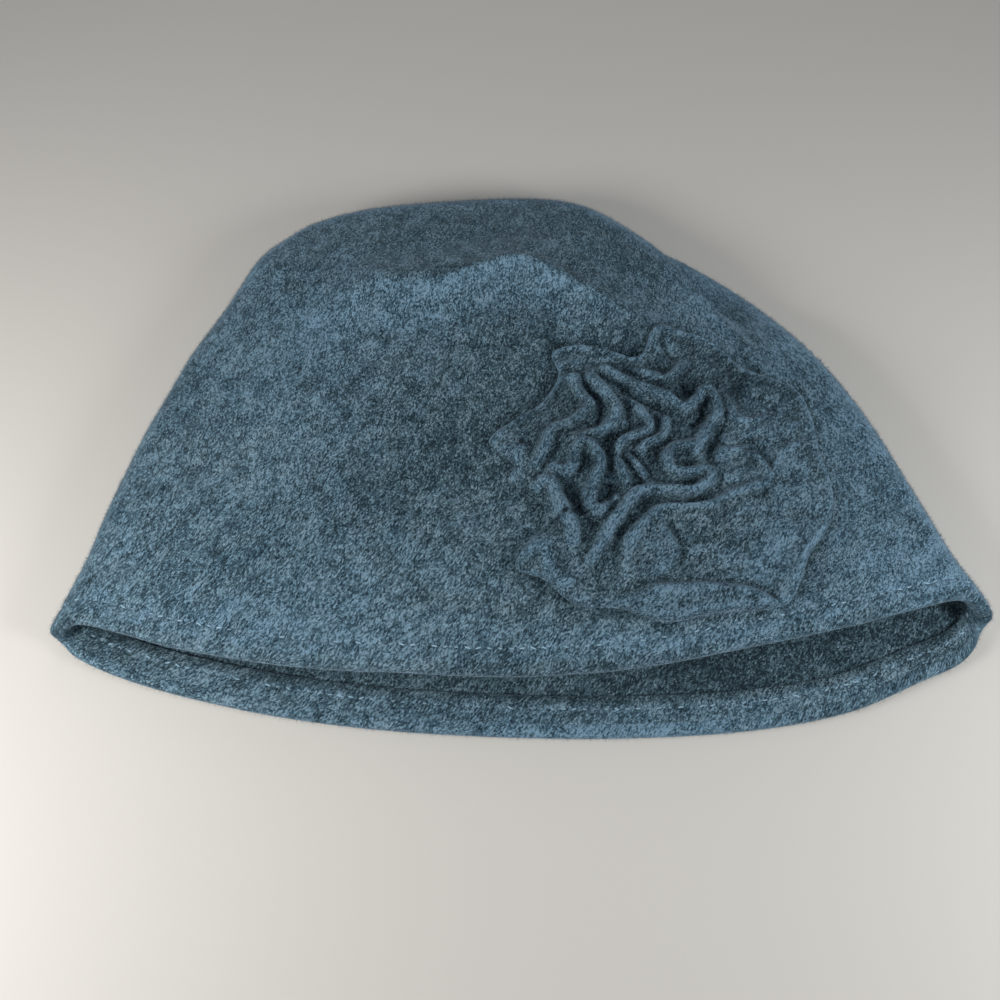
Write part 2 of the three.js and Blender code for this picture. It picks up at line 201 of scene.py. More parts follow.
# along as a share of the length, reach as a share of the half width
leftOutline = [
    (0.154, 1.0), (0.206, 0.976), (0.274, 0.945), (0.346, 0.922), (0.418, 0.895), (0.494, 0.865),
    (0.572, 0.826), (0.654, 0.784), (0.739, 0.725), (0.801, 0.688), (0.837, 0.668), (0.873, 0.636),
    (0.905, 0.59),
]
rightOutline = [
    (0.177, 1.0), (0.208, 0.987), (0.274, 0.939), (0.346, 0.9), (0.418, 0.862), (0.494, 0.822),
    (0.572, 0.771), (0.654, 0.703), (0.739, 0.612), (0.773, 0.57),
]
# across from the left shoulder to the right one, along
tipOutline = [
    (0.0, 0.905), (0.051, 0.938), (0.148, 0.97), (0.257, 0.986), (0.45, 1.0), (0.577, 0.999),
    (0.646, 0.986), (0.7, 0.962), (0.77, 0.917), (0.81, 0.891), (0.855, 0.87), (0.915, 0.834),
    (0.97, 0.797), (1.0, 0.773),
]
# across, lower edge, upper edge, how far the upper edge stands open
mouthTable = [
    (0.0, 0.154, 0.154, 0.7), (0.03, 0.122, 0.166, 0.7), (0.08, 0.091, 0.148, 0.72),
    (0.15, 0.0615, 0.119, 0.74), (0.25, 0.031, 0.092, 0.72), (0.36, 0.011, 0.082, 0.71),
    (0.5, 0.0, 0.0745, 0.73), (0.62, 0.0, 0.087, 0.8), (0.74, 0.012, 0.119, 0.92),
    (0.84, 0.04, 0.152, 1.02), (0.92, 0.088, 0.187, 1.02), (0.97, 0.123, 0.204, 0.92),
    (1.0, 0.177, 0.177, 0.85),
]
# along, rise
heightTable = [(0.0, 0.86), (0.25, 0.96), (0.5, 1.04), (0.75, 1.08), (1.0, 1.0)]
# crest from, crest to, bow to its left, height, width in front, width behind
creaseTable = [
    (-0.329, 0.493, 0.007, 0.609, -0.011, 0.5, 0.12, 0.1),
    (0.007, 0.609, 0.286, 0.304, 0.017, 0.45, 0.107, 0.09),
]
# the crest itself, in millimetres, pinched to a soft edge
pinchLine = [
    (-56.9, 47.7), (-42.7, 45.0), (-32.8, 45.6), (-23.8, 47.1), (-18.9, 48.5), (-9.9, 51.8), (-4.4, 53.9),
    (1.2, 54.4), (6.4, 52.5), (11.5, 49.3), (16.6, 46.1), (22.4, 42.4), (30.5, 36.1), (36.9, 29.8),
]
pinch = {"height": 1.5, "front": 8.0, "behind": 1.9, "valley": 1.3, "valleyFrom": 4.2, "valleyWidth": 3.0}
# the roll's crest, in millimetres; beyond it the cloth drops to a low flap
rollLine = [
    (22, 99), (30, 88), (35, 82.5), (41, 76), (46, 69.5), (50, 62), (54.8, 54.3), (58.2, 48.5), (62.5, 42),
    (65.6, 38), (69, 32), (75, 23), (79, 14),
]
roll = {"drop": 0.68, "width": 6.5, "bead": 0.9, "beadBack": 1.5, "beadWidth": 3.2, "fadeFrom": 0.6}


def planPoint(u, v, layer):
    leftAlong = mix(leftOutline[0][0], leftOutline[-1][0], v)
    rightAlong = mix(rightOutline[0][0], rightOutline[-1][0], v)
    leftX = -halfWidth * readTable(leftOutline, 1, leftAlong)
    rightX = halfWidth * readTable(rightOutline, 1, rightAlong)
    chord = mix(leftAlong, rightAlong, u)
    mouthBow = readTable(mouthTable, layer, u) - mix(leftOutline[0][0], rightOutline[0][0], u)
    tipBow = readTable(tipOutline, 1, u) - mix(leftOutline[-1][0], rightOutline[-1][0], u)
    along = chord + mouthBow * (1 - v) ** 1.2 + tipBow * v**2
    return mix(leftX, rightX, u), crownShape["length"] * along - halfLength


def crownOutline():
    v = np.linspace(0, 1, 301)
    u = np.linspace(0, 1, 401)[1:-1]
    sides = [planPoint(0 * v, v, 1), planPoint(u, 0 * u + 1, 1), planPoint(0 * v + 1, v[::-1], 1)]
    return np.concatenate([np.stack(side, 1) for side in sides])


outlineLine = crownOutline()


def outlineDistance(x, y, batch=3000):
    flatX, flatY = np.ravel(x), np.ravel(y)
    a, b = outlineLine[:-1], outlineLine[1:]
    d = b - a
    span = np.maximum((d**2).sum(1), 1e-12)
    best = np.empty(len(flatX))
    for start in range(0, len(flatX), batch):
        px, py = flatX[start:start + batch, None], flatY[start:start + batch, None]
        t = clamp(((px - a[:, 0]) * d[:, 0] + (py - a[:, 1]) * d[:, 1]) / span)
        away = np.hypot(px - a[:, 0] - t * d[:, 0], py - a[:, 1] - t * d[:, 1])
        best[start:start + batch] = away.min(1)
    return best.reshape(np.shape(x))


def acrossLine(start, end, bend, x, y):
    # share along a bowed line, signed distance to its left, and how far past its ends
    sx, sy = start[0] * halfWidth, start[1] * halfLength
    dx, dy = end[0] * halfWidth - sx, end[1] * halfLength - sy
    length = math.hypot(dx, dy)
    t = ((x - sx) * dx + (y - sy) * dy) / length**2
    side = ((y - sy) * dx - (x - sx) * dy) / length
    inside = clamp(t)
    return t, side - bend * halfWidth * 4 * inside * (1 - inside), (t - inside) * length


def creaseHeight(x, y):
    height = np.zeros(np.shape(x))
    rounding = 0.07  # of the crests, as a share of their reach
    for x0, y0, x1, y1, bend, tall, front, back in creaseTable:
        _, side, past = acrossLine((x0, y0), (x1, y1), bend, x, y)
        reach = np.where(side < 0, front, back) * halfWidth
        away = np.sqrt((side / reach) ** 2 + (past / (front * halfWidth)) ** 2 + rounding**2)
        height = np.maximum(height, crownShape["rise"] * tall * clamp(1.05 - away) ** 1.4)
    away, side, share = distanceTo(pinchLine, x, y)
    reach = np.where(side > 0, pinch["behind"], pinch["front"])
    fade = ease(share / 0.45) * ease((1 - share) / 0.22)
    crest = pinch["height"] * np.exp(-((away / reach) ** 1.6))
    valley = pinch["valley"] * bell((away - pinch["valleyFrom"]) / pinch["valleyWidth"]) * (side > 0)
    return height + (crest - valley) * fade


def rollShare(x, y):
    # how much of the height is lost beyond the roll, and the roll's own bead
    away, side, share = distanceTo(rollLine, x, y)
    fade = 1 - ease((share - roll["fadeFrom"]) / (1 - roll["fadeFrom"]))
    signed = away * np.where(side == 0, 1, side)
    beyond = ease(signed / roll["width"])
    bead = roll["bead"] * bell((signed + roll["beadBack"]) / roll["beadWidth"])
    return roll["drop"] * beyond * fade, bead * fade


def crownSurface(u, v, upper):
    # the outer face: x, y, z in millimetres and the distance in from the fold
    x, y = planPoint(u, v, 1)
    upperX, upperY = planPoint(u, v, 2)
    x, y = np.where(upper, upperX, x), np.where(upper, upperY, y)
    onFold = np.minimum(np.minimum(u, 1 - u), 1 - v) < 1e-9
    inwards = np.where(onFold, 0, outlineDistance(x, y))
    radius = crownShape["foldRadius"]
    fold = radius * quarterRound(inwards / radius)
    tipShare = ease((y / halfLength - crownShape["tipFrom"]) / crownShape["tipOver"])
    slopeWidth = mix(crownShape["sideSlope"], crownShape["tipSlope"], tipShare)
    slope = 1 - (1 - clamp(inwards / slopeWidth)) ** crownShape["slopePower"]
    lift = mix(readTable(mouthTable, 3, u), 1, ease(v / crownShape["mouthLift"]))
    rise = crownShape["rise"] * readTable(heightTable, 1, v)
    rollDrop, rollBead = rollShare(x, y)
    body = (fold + rise * slope) * lift * (1 - rollDrop)
    top = radius + body + (creaseHeight(x, y) + rollBead) * slope
    swell = (crownShape["swell"] * softWaves(x, y, crownShape["swellSize"], 3)
             + crownShape["ripple"] * softWaves(x, y, crownShape["rippleSize"], 5))
    top = top + swell * ease(inwards / crownShape["swellIn"])
    return x, y, np.where(upper, top, radius - fold), inwards


def crowd(t):
    return t - crownShape["crowding"] * np.sin(math.tau * t) / math.tau


hemShape = {
    "start": 1.3,  # the mouth's rows start this far in, so that the rolled edge ends at the outline
    "rollOut": 1.8,  # how far the rolled edge bulges out of the mouth
    "rollBack": 4.75,  # its thickness, cloth and turned-in hem together
    "cut": 2.0,  # where the rolled edge ends and the turned-in band goes on
    "gap": 0.35,
    "stitchLine": 6.8,  # in from the start of the rolled edge
    "stitchWidth": 0.7,
    "stitchDent": 0.4,  # of the outer face
    "stitchPress": 0.3,  # of the band inside
    "freeEdge": 11.25,
    "freeFrom": 7.0,  # from here to freeFull the band is pressed thin and darkened with painted shade
    "freeFull": 11.0,
    "freeThin": 1.2,
    "freeShade": -0.14,
    "cornerDark": -0.08,  # the turned-in cloth is darker at both ends of the mouth too
}


n = crownShape["stepsAcross"]
ringStep = np.arange(2 * n)
ringU = crowd(np.minimum(ringStep, 2 * n - ringStep) / n)
ringUpper = ringStep <= n
hemRows = np.array([0, 0.7, 1.4, 2.2, 3.2, 4.4, 5.4, 6, 6.4, 6.8, 7.2, 7.6, 8.2, 9.4, 10.8, 12.2])
rowLength = crownShape["length"] * 0.95  # of a usual column of the surface
mouthShares = (hemRows + hemShape["start"]) / rowLength
restSteps = np.arange(1, crownShape["rows"] + 1) / crownShape["rows"]
restShares = mix(mouthShares[-1], 1, 1 - (1 - restSteps) ** crownShape["rowCrowding"])
rowShares = np.concatenate([mouthShares, restShares])
gridU, gridV = np.meshgrid(ringU, rowShares)
gridUpper = np.broadcast_to(ringUpper, gridU.shape)
gx, gy, gz, gIn = crownSurface(gridU, gridV, gridUpper)
outer = np.stack([gx, gy, gz], -1)
rowCount = len(rowShares)
print("crown: surface rows", rowCount, "steps", 2 * n)


def surfaceNormals(points):
    # outward normals of a stack of rings whose last ring is closed flat
    rows, count = points.shape[:2]
    weld = np.arange(rows * count).reshape(rows, count)
    steps = np.arange(count)
    weld[-1] = (rows - 1) * count + np.minimum(steps, (count - steps) % count)
    after = np.roll(points, -1, axis=1)
    cross = np.cross(after[1:] - points[:-1], points[1:] - after[:-1])
    total = np.zeros((rows * count, 3))
    weldAfter = np.roll(weld, -1, axis=1)
    for index in (weld[:-1], weldAfter[:-1], weld[1:], weldAfter[1:]):
        np.add.at(total, index.ravel(), cross.reshape(-1, 3))
    normals = total[weld.ravel()].reshape(points.shape)
    normals /= np.maximum(np.linalg.norm(normals, axis=-1, keepdims=True), 1e-12)
    return normals if normals[rows // 2, count // 4, 2] > 0 else -normals


def stitchPull(into):
    # how far the thread pulls the cloth in, 1 on the line of stitches
    return bell((into - hemShape["stitchLine"]) / hemShape["stitchWidth"])


outerNormals = surfaceNormals(outer)
dent = np.zeros(rowCount)
dent[:len(hemRows)] = hemShape["stitchDent"] * stitchPull(hemRows)
outerDented = outer - outerNormals * dent[:, None, None]
outOfMouth = outer[0] - outer[2]
outOfMouth /= np.linalg.norm(outOfMouth, axis=-1, keepdims=True)


def ringAt(into, depth):
    # a ring at a distance in from the rolled edge and a depth below the outer face
    if into <= 0:
        return outer[0] - outerNormals[0] * depth - outOfMouth * into
    j = int(np.clip(np.searchsorted(hemRows, into, side="right") - 1, 0, len(hemRows) - 2))
    t = (into - hemRows[j]) / (hemRows[j + 1] - hemRows[j])
    normal = mix(outerNormals[j], outerNormals[j + 1], t)
    return mix(outer[j], outer[j + 1], t) - normal * depth


def ringLengths(points):
    # distance round each ring from its upper middle
    steps = np.linalg.norm(np.roll(points, -1, axis=1) - points, axis=-1)
    along = np.concatenate([np.zeros((len(points), 1)), np.cumsum(steps, axis=1)], axis=1)
    upperX = points[:, :n + 1, 0]
    centre = np.array([np.interp(0.0, upperX[j], along[j, :n + 1]) for j in range(len(points))])
    return along - centre[:, None]


def ringMesh(name, rings, uRows, vRows, lightAndWearRows, loop=False):
    # one closed skin through a list of rings, with a cloth map in metres and a change of tone: painted light
    # and shade, with some wear
    rings = np.array(rings)
    rows, count = rings.shape[:2]
    steps = np.arange(count)
    after = (steps + 1) % count
    quads, corners = [], []
    for j in range(rows if loop else rows - 1):
        k = (j + 1) % rows
        quads.append(np.stack([
            j * count + steps, j * count + after, k * count + after, k * count + steps], 1))
        corners.append(np.stack([
            uRows[j][:-1], vRows[j], uRows[j][1:], np.roll(vRows[j], -1),
            uRows[k][1:], np.roll(vRows[k], -1), uRows[k][:-1], vRows[k]], 1))
    mesh = bpy.data.meshes.new(name)
    mesh.from_pydata((rings.reshape(-1, 3) * mm).tolist(), [], np.concatenate(quads).tolist())
    cloth = mesh.uv_layers.new(name="cloth")
    cloth.data.foreach_set("uv", (np.concatenate(corners) * mm).astype(np.float32).ravel())
    pointField(mesh, "lightAndWear", lightAndWearRows)
    closeSkin(mesh, 2e-6)
    return newObject(name, mesh)


# The cloth map runs round each ring, from the middle of the upper layer, and leans more towards
# the tip. The other way it runs along the surface from the mouth.
uOuter = ringLengths(outer)
uHem = np.append(np.where(ringUpper, uOuter[0][:-1], uOuter[0][-1] - uOuter[0][:-1]), 0)
middles = np.array([np.interp(0, gx[j][:n + 1], uOuter[j][:n + 1]) for j in range(rowCount)])
middleY, mostLean, leanOver = gy[:, n // 2], 0.33, 50
swing = np.cumsum(mostLean * ease((middleY + leanOver) / leanOver) * np.gradient(middleY))
uOuter = uOuter + (swing - middles)[:, None]
climb = np.linalg.norm(np.diff(outer, axis=0), axis=-1).cumsum(0)
vOuter = gy[0] + np.concatenate([np.zeros((1, 2 * n)), climb])


rosetteShape = {
    "centre": (43.0, -18.0),
    "reach": 49,  # of the middle's mesh; the rim's own reach is in rosetteRim
    "cloth": 2.0,
    "seat": 0.2,  # gap above the crown
    "mound": 1.0,
    "rimLift": 1.3,
    "tall": 4.8,  # height of a whole tuck
    "uneven": 0.14,  # how much the tucks differ in height along their length
    "tuckBlend": 5,  # how sharply the tallest wins where tucks meet
    "leafBlend": 3,
    "edgeTall": 0.75,
    "edgeWide": 1.2,
    "foldShadeAndWear": 0.16,  # how much lighter a crest and darker a groove is than the cloth around it, for each millimetre: the crests partly worn and partly a painted highlight, the grooves painted shade
    "foldLimits": (-0.14, 0.12),
    # a painted highlight along the rosette's free edge
    "rimHighlight": 0.11,
    "rimShade": -0.07,  # behind the standing rim
    "steps": 200,
}
# angle in degrees, reach in millimetres, how far the edge stands off, thickness of the edge
rosetteRim = [
    (4, 47.8, 0.9, 1.7), (21, 49.9, 0.9, 1.7), (31, 50.9, 0.9, 1.6), (40, 46.8, 0.8, 1.5),
    (52, 43.1, 0.9, 1.4), (62, 45.0, 0.8, 1.3), (71, 46.9, 0.8, 1.3), (87, 47.0, 0.7, 1.2),
    (92, 44.9, 0.4, 1.2), (97, 37.8, 0.3, 1.2), (104, 36.2, 0.3, 1.2), (113, 40.4, 0.3, 1.2),
    (123, 47.4, 0.2, 1.1), (132, 50.0, 0.1, 0.9), (136, 43.6, 0.1, 0.8), (146, 41.4, 0.1, 0.8),
    (155, 42.6, 0.1, 0.8), (164, 47.7, 0.1, 0.8), (173, 53.4, 0.0, 0.7), (178, 49.8, 0.0, 0.7),
    (182, 45.6, 0.0, 0.6), (189, 47.6, 0.0, 0.6), (195, 41.4, 0.0, 0.6), (209, 41.6, 0.0, 0.6),
    (213, 51.0, 0.3, 0.9), (217, 56.5, 0.5, 1.0), (225, 52.9, 0.5, 1.1), (237, 53.0, 0.5, 1.2),
    (251, 48.7, 0.9, 1.4), (265, 50.2, 1.1, 1.6), (284, 49.2, 1.3, 1.7), (304, 54.8, 1.1, 1.7),
    (307, 54.6, 1.0, 1.7), (322, 49.7, 1.0, 1.7), (334, 50.8, 1.0, 1.7), (346, 50.9, 0.9, 1.7),
]


def rimAt(degrees):
    # reach, how far the edge stands off, its thickness
    table = np.array([(r[0] - 360, *r[1:]) for r in rosetteRim[-3:]] + rosetteRim
                     + [(r[0] + 360, *r[1:]) for r in rosetteRim[:3]])
    reach, stand, thick = (readTable(table, column, degrees) for column in (1, 2, 3))
    return reach, np.maximum(stand, 0), thick


# mostly painted light and shade, partly worn nap: x, y, half size along each, change of tone
lightAndWearPatches = [
    (-6, -12, 44, 44, -0.09), (-78, 6, 34, 40, 0.04), (-62, -66, 66, 13, 0.08), (-44, 37, 34, 9, 0.09),
    (0, 44, 24, 8, 0.07), (104, -34, 22, 34, 0.05), (40, -70, 60, 11, 0.03), (4, 70, 60, 14, -0.045),
    (62, 46, 8, 26, 0.08), (-94, -14, 22, 16, -0.06), (-65, 27, 12, 12, 0.09),
    (118, -54, 20, 14, 0.12), (64, -71, 46, 9, 0.09), (12, -63, 28, 7, -0.13), (-30, -62, 14, 7, -0.09),
    (30, -95, 70, 5, 0.16), (0, -6, 14, 30, -0.05), (108, 0, 14, 20, 0.1), (86, 26, 12, 14, 0.08),
    (6, -52, 11, 8, -0.09), (-30, 30, 14, 8, 0.04),
]
# painted light and shade, laid into the cloth's tone
paintedLight = {
    "inside": -0.17,  # painted shade on the inside of the cloth, within the mouth
    "edge": 0.42,  # painted sheen along the fold over the tip and down the right
    "edgeWide": 5,
    "lip": -0.07,  # painted shade along the mouth's edge
    # painted highlight on one side of the crease and the roll, painted shadow on the other
    "crease": 0.13,
    "rimShadow": -0.11,  # painted shadow on the crown just outside the rosette's rim
    "rimShadowWide": 1.7,
}


def patchTone(patches, x, y):
    total = np.zeros(np.shape(x))
    for cx, cy, rx, ry, amount in patches:
        total += amount * np.exp(-1.2 * (((x - cx) / rx) ** 2 + ((y - cy) / ry) ** 2))
    return total


def paintedLightField(x, y):
    # painted light and shade: the patches, a lit and a shaded side along the roll and the crease, and a painted
    # shadow outside the rosette's rim
    total = patchTone(lightAndWearPatches, x, y)
    for line, wide in ((rollLine, 4.0), (pinchLine, 6.0)):
        away, side, share = distanceTo(line, x, y)
        signed = away * np.where(side == 0, 1, side)
        fade = ease(share / 0.2) * ease((1 - share) / 0.3)
        total -= paintedLight["crease"] * fade * np.tanh(signed / 0.9) * bell(signed / wide)
    across, along = x - rosetteShape["centre"][0], y - rosetteShape["centre"][1]
    reach, stand, _ = rimAt(np.degrees(np.arctan2(along, across)) % 360)
    outside = np.hypot(across, along) - reach - 0.8
    # painted shadow of the rosette's rim, most where the rim stands off and on the far side
    pressed = (stand + 0.7 * ease(along / 20)) * bell(outside / paintedLight["rimShadowWide"])
    return total + paintedLight["rimShadow"] * pressed


def buildCrown():
    rings, uRows, vRows, lightAndWearRows = [], [], [], []

    def add(ring, u, v, lightAndWear):
        rings.append(ring)
        uRows.append(u)
        vRows.append(v)
        lightAndWearRows.append(np.zeros(len(ring)) + lightAndWear)

    inner = outer - outerNormals * crownShape["wall"]
    hemEnd = len(hemRows) - 1
    innerRows = list(range(rowCount - 1, hemEnd, -crownShape["innerRowStep"])) + [14, 12, 9, 6, 4]
    if innerRows[1] > rowCount - 4:
        innerRows.insert(1, rowCount - 2)
    insideMap = 400  # keeps the inside's cloth map clear of the outside's
    # the inside of the crown gets painted shade
    for j in innerRows:
        add(inner[j], np.append(gx[j], gx[j][0]) + insideMap, gy[j], paintedLight["inside"])

    # the rolled edge in section, from the inside out: how far in, how deep
    back, out, cut = hemShape["rollBack"], hemShape["rollOut"], hemShape["cut"]
    edge = [(cut, crownShape["wall"]), (cut, 3.4), (cut, back - 0.06), (cut - 0.05, back),
            (cut - 0.15, back), (cut - 0.7, back), (0.6, back)]
    for t in np.linspace(math.pi, 0, 13):
        edge.append((-out * math.sin(t), back / 2 * (1 - math.cos(t))))
    walks = [math.dist(a, b) for a, b in zip(edge, edge[1:])]
    # painted shade along the mouth's edge, and more on the rolled edge's inward face
    lip = paintedLightField(gx[0], gy[0]) + paintedLight["lip"] * ringUpper
    for i, (into, depth) in enumerate(edge[:-1]):
        inside = paintedLight["inside"] if into >= cut and depth < back - 0.1 else 0
        add(ringAt(into, depth), uOuter[0], gy[0] - sum(walks[i:]), lip + inside)

    for j in range(rowCount):
        sheenShare = ease((gx[j] + 1.3 * gy[j] + 70) / 90)  # the painted sheen along the fold shows most at the tip and on the right
        fold = paintedLight["edge"] * sheenShare * bell(gIn[j] / paintedLight["edgeWide"]) + paintedLight["lip"] * (j < 3)
        add(outerDented[j], uOuter[j], vOuter[j], paintedLightField(gx[j], gy[j]) + fold)
    return ringMesh("crownCloth", rings, uRows, vRows, lightAndWearRows)


def freeShare(into):
    # how near the band's free edge
    return ease((into - hemShape["freeFrom"]) / (hemShape["freeFull"] - hemShape["freeFrom"]))


def buildHem():
    near, far = crownShape["wall"] + hemShape["gap"], hemShape["rollBack"]
    thin, end = hemShape["freeThin"], hemShape["freeEdge"]
    start = hemShape["cut"] + 0.03
    into = [start, start + 0.05, start + 0.15, 3.4, 5.0, 6.0, 6.4, 6.8, 7.2, 7.6, 8.6, 9.8, 10.8]
    # in section, round the band: how far in, how deep
    section = [(s, near) for s in into]
    section += [(end - 0.15, near + 0.2), (end, (near + far - thin) / 2), (end - 0.15, far - thin - 0.2)]
    for s in into[::-1]:
        pressed = hemShape["stitchPress"] * stitchPull(s) + (0.06 if s == start else 0)
        section.append((s, far - pressed - thin * freeShare(s)))
    rings = np.array([ringAt(s, depth) for s, depth in section])
    vRows = [gy[0] - 20 - s for s in into] + [gy[0] - 8 + s for s, _ in section[len(into):]]
    corner = ease((np.abs(rings[:, :, 0] - 4) - 92) / 26)  # from 92 to 118 either side of the mouth's middle
    free = freeShare(np.array([s for s, _ in section]))
    # painted shade towards the band's free edge, and darker towards both ends of the mouth
    lightAndWearRows = hemShape["cornerDark"] * corner + hemShape["freeShade"] * free[:, None]
    return ringMesh("hemBand", rings, [uHem] * len(rings), vRows, lightAndWearRows, loop=True)


crownCloth = buildCrown()
hemBand = buildHem()
print("crown and hem: faces", len(crownCloth.data.polygons), len(hemBand.data.polygons))


# tucks: points about the centre, height, width on the left of the line, width on its right
tucks = [
    ([(-35, 36.4), (-26.7, 39), (-16.1, 36.6), (-8.8, 34.2), (-4.5, 37), (-0.7, 44),
      (2.7, 45.6)], 0.62, 2.2, 3.6),
    ([(2.7, 45.8), (15, 43.4), (26.4, 33.1), (35.8, 29.2), (42.5, 25.4), (45.5, 18), (46.7, 3.5),
      (48.2, -12)], 0.26, 1.6, 4),
    ([(-31.1, 29.5), (-32.9, 23.6), (-38, 17.4), (-45.3, 12.3), (-52, 6.4)], 0.36, 2.8, 1.6),
    ([(-27.1, 27.4), (-24.9, 20.8), (-22.6, 17.1), (-26.8, 11.6), (-34, 7.9), (-36.5, 2.6),
      (-38.9, -2.7)], 0.8, 3, 3),
    ([(-21.4, 26.4), (-16.9, 19.9), (-14.7, 14.3), (-18.2, 7.9), (-24.6, 6.2),
      (-30.2, 4.4)], 0.95, 3, 3.2),
    ([(-17.4, 30.2), (-10.2, 24.5), (-0.8, 19.9), (6.2, 15.7), (9.6, 18.9), (13.1, 22.2), (16, 18.9),
      (15.9, 13.4), (11.8, 7), (8.1, 1.4)], 1, 3, 3),
    ([(-9.1, 28.6), (-0.3, 26.8), (3, 27.4), (8.3, 32.4)], 0.85, 3.2, 2.8),
    ([(-9.8, 17.1), (-4.6, 10.7), (-6.4, 7), (-12.8, 4.4), (-15.4, 0.8)], 0.9, 2.7, 2.7),
    ([(0.3, 11.6), (-0.9, 6.2), (-6.6, 2.6), (-8.4, -0.1)], 0.8, 2.4, 2.4),
    ([(8, 3.5), (2, 2.2), (-0.3, -1), (0.4, -5.3), (5.2, -6.2), (10.8, -5.3), (12.1, -7.9), (6.3, -12),
      (-1.3, -11.6), (-8.3, -11.8), (-13.9, -17.3), (-18.9, -24.7), (-23.7, -32.8)], 1, 2.9, 2.9),
    ([(-15.5, -1.8), (-13.4, -7), (-12.1, -10.5)], 0.85, 2.4, 2.4),
    ([(-11.5, -0.9), (-7.2, -7)], 0.75, 2.2, 2.2),
    ([(-33.5, -4.4), (-28.8, -4.4), (-27.1, 1.7), (-23.9, 3.5), (-20.2, -1.8), (-22, -8.8),
      (-23.8, -15.6), (-20.1, -18.1), (-15.9, -14.4)], 0.9, 3, 3),
    ([(-39, -9.6), (-35.1, -8.8), (-32.2, -15.6), (-29.4, -22.2), (-28.7, -26.4)], 0.85, 3.2, 3.2),
    ([(-8.1, -22.2), (-4.7, -17.2), (2.2, -16.4), (10.6, -16.2), (16.5, -12.4), (27.5, -8.8),
      (29.5, -4.4), (24.8, 2.6), (19.2, 4.4)], 0.62, 3.2, 3.2),
    ([(-14.2, -36.8), (-12.2, -28), (-8, -20.6), (-3.5, -20.6), (0.4, -30.4)], 0.62, 3.4, 3.4),
    ([(-15.3, -43.9), (-3.3, -41), (13, -41), (25, -43.6)], 0.42, 3.4, 6),
    ([(-43.9, -32.6), (-37.8, -27.6), (-35, -35), (-28.4, -41.2)], 0.5, 3.6, 3.6),
    ([(18.8, 22.7), (20.4, 14.3), (25.7, 11.6), (30.8, 14.3)], 0.55, 3, 3),
    ([(-49.8, 4.9), (-45.1, 1.4), (-45.4, -3.6), (-46.4, -8)], 0.14, 2.4, 2.4),
    ([(30, 22), (38, 20), (44, 21)], 0.2, 4.5, 4.5),
    ([(32, 2), (36, -6), (44, -12)], 0.22, 5.5, 5.5),
    ([(22, -18), (30, -24), (38, -26)], 0.24, 5, 5),
]
# grooves: points, depth, half width
grooves = [
    ([(-35.3, 30.1), (-27.2, 29.7), (-21.4, 32.1), (-16.6, 31.7), (-11.8, 29.4), (-5.4, 27.5),
      (1.1, 27.8), (5.7, 32.9)], 1.8, 1.2),
    ([(-52.2, 4.5), (-45.9, 5.5), (-38.1, 4.1)], 0.7, 1),
    ([(-25.3, 27.4), (-21.9, 20.9), (-19.3, 16.3), (-19.9, 10.9), (-24, 7.2), (-31.1, 4.2),
      (-35.9, -2.2)], 1.2, 1),
    ([(-10, 18.3), (-11.1, 13.7), (-10.5, 9.1), (-14.7, 5.5), (-17.9, 1.9)], 1, 1),
    ([(-14.6, 23), (-9.1, 19.7), (-3.7, 16.5), (1.6, 13.4)], 1.2, 1),
    ([(6.7, 25.6), (7.8, 21.6), (10.4, 21.7)], 1.6, 1.4),
    ([(12.8, 16.3), (11.2, 12.5), (7.3, 9.2)], 1.4, 1.1),
    ([(16.7, 14.7), (15.2, 8.1), (13.4, 2.5), (12.2, -4.1)], 2.1, 1.5),
    ([(14.8, 4.5), (20.8, 4), (25.9, 6.2), (30.2, 8)], 1.2, 1),
    ([(21.5, 3), (26.2, 1.7), (29.5, -1.4), (30.2, -5.8)], 1.5, 1.1),
    ([(-16.9, -28.2), (-13, -23.1), (-9.8, -20.3), (-5, -15.9), (1.9, -14.9), (9.6, -14.6),
      (15.2, -12.2), (24.2, -8.3)], 2, 1.3),
    ([(-2.2, -19.8), (-0.9, -23), (1.1, -26.9), (2.5, -28.9), (1.3, -33.9)], 1, 1.4),
    ([(2.5, -28.5), (7.9, -26.9), (14.8, -24.9)], 0.9, 1.2),
    ([(-13.7, -41.7), (-7.6, -38.7), (-1.7, -38.1), (5.7, -38.1), (13, -38.5), (20.3, -39.5),
      (25.9, -42.3), (30, -45.5)], 1.4, 1.2),
    ([(9.5, -35.6), (17.7, -35.4), (23.4, -37.8)], 0.8, 1.6),
    ([(-21.8, 3.7), (-17.6, 0.2), (-16.7, -5.8)], 1.3, 1.2),
    ([(-17.2, -8.3), (-17, -12.6), (-19.1, -15.1)], 1.8, 1.6),
    ([(-28.7, -7.9), (-27.4, -14.2), (-28.7, -19.2)], 1.4, 1.3),
    ([(-24.9, -20.8), (-20.1, -22.4)], 1.3, 1.3),
    ([(-37, -23.5), (-32.9, -20.7)], 1.2, 1),
    ([(-10.6, -5.8), (-7.7, -10.2), (-1.6, -10.9), (4.6, -10), (8.2, -8.3)], 1.2, 1),
    ([(-6.2, 14.8), (-2.9, 11), (-4.5, 7)], 1, 0.9),
    ([(-11.7, 2), (-8.1, -3.2), (-6.6, -6.2)], 1, 0.9),
    ([(1.5, 6.2), (-0.8, 2.1), (-4, 0.1)], 1.2, 1.1),
    ([(0.6, 40.8), (2.9, 35.7), (7, 34.3)], 1.2, 1.3),
    ([(25.2, 31.2), (22.8, 21.9), (24.6, 15.9)], 0.9, 2),
    ([(34.4, 20.9), (33.8, 14.7)], 0.8, 1.5),
    ([(26.2, -17.7), (31.5, -18.8), (37.2, -17.6)], 0.8, 2.4),
]
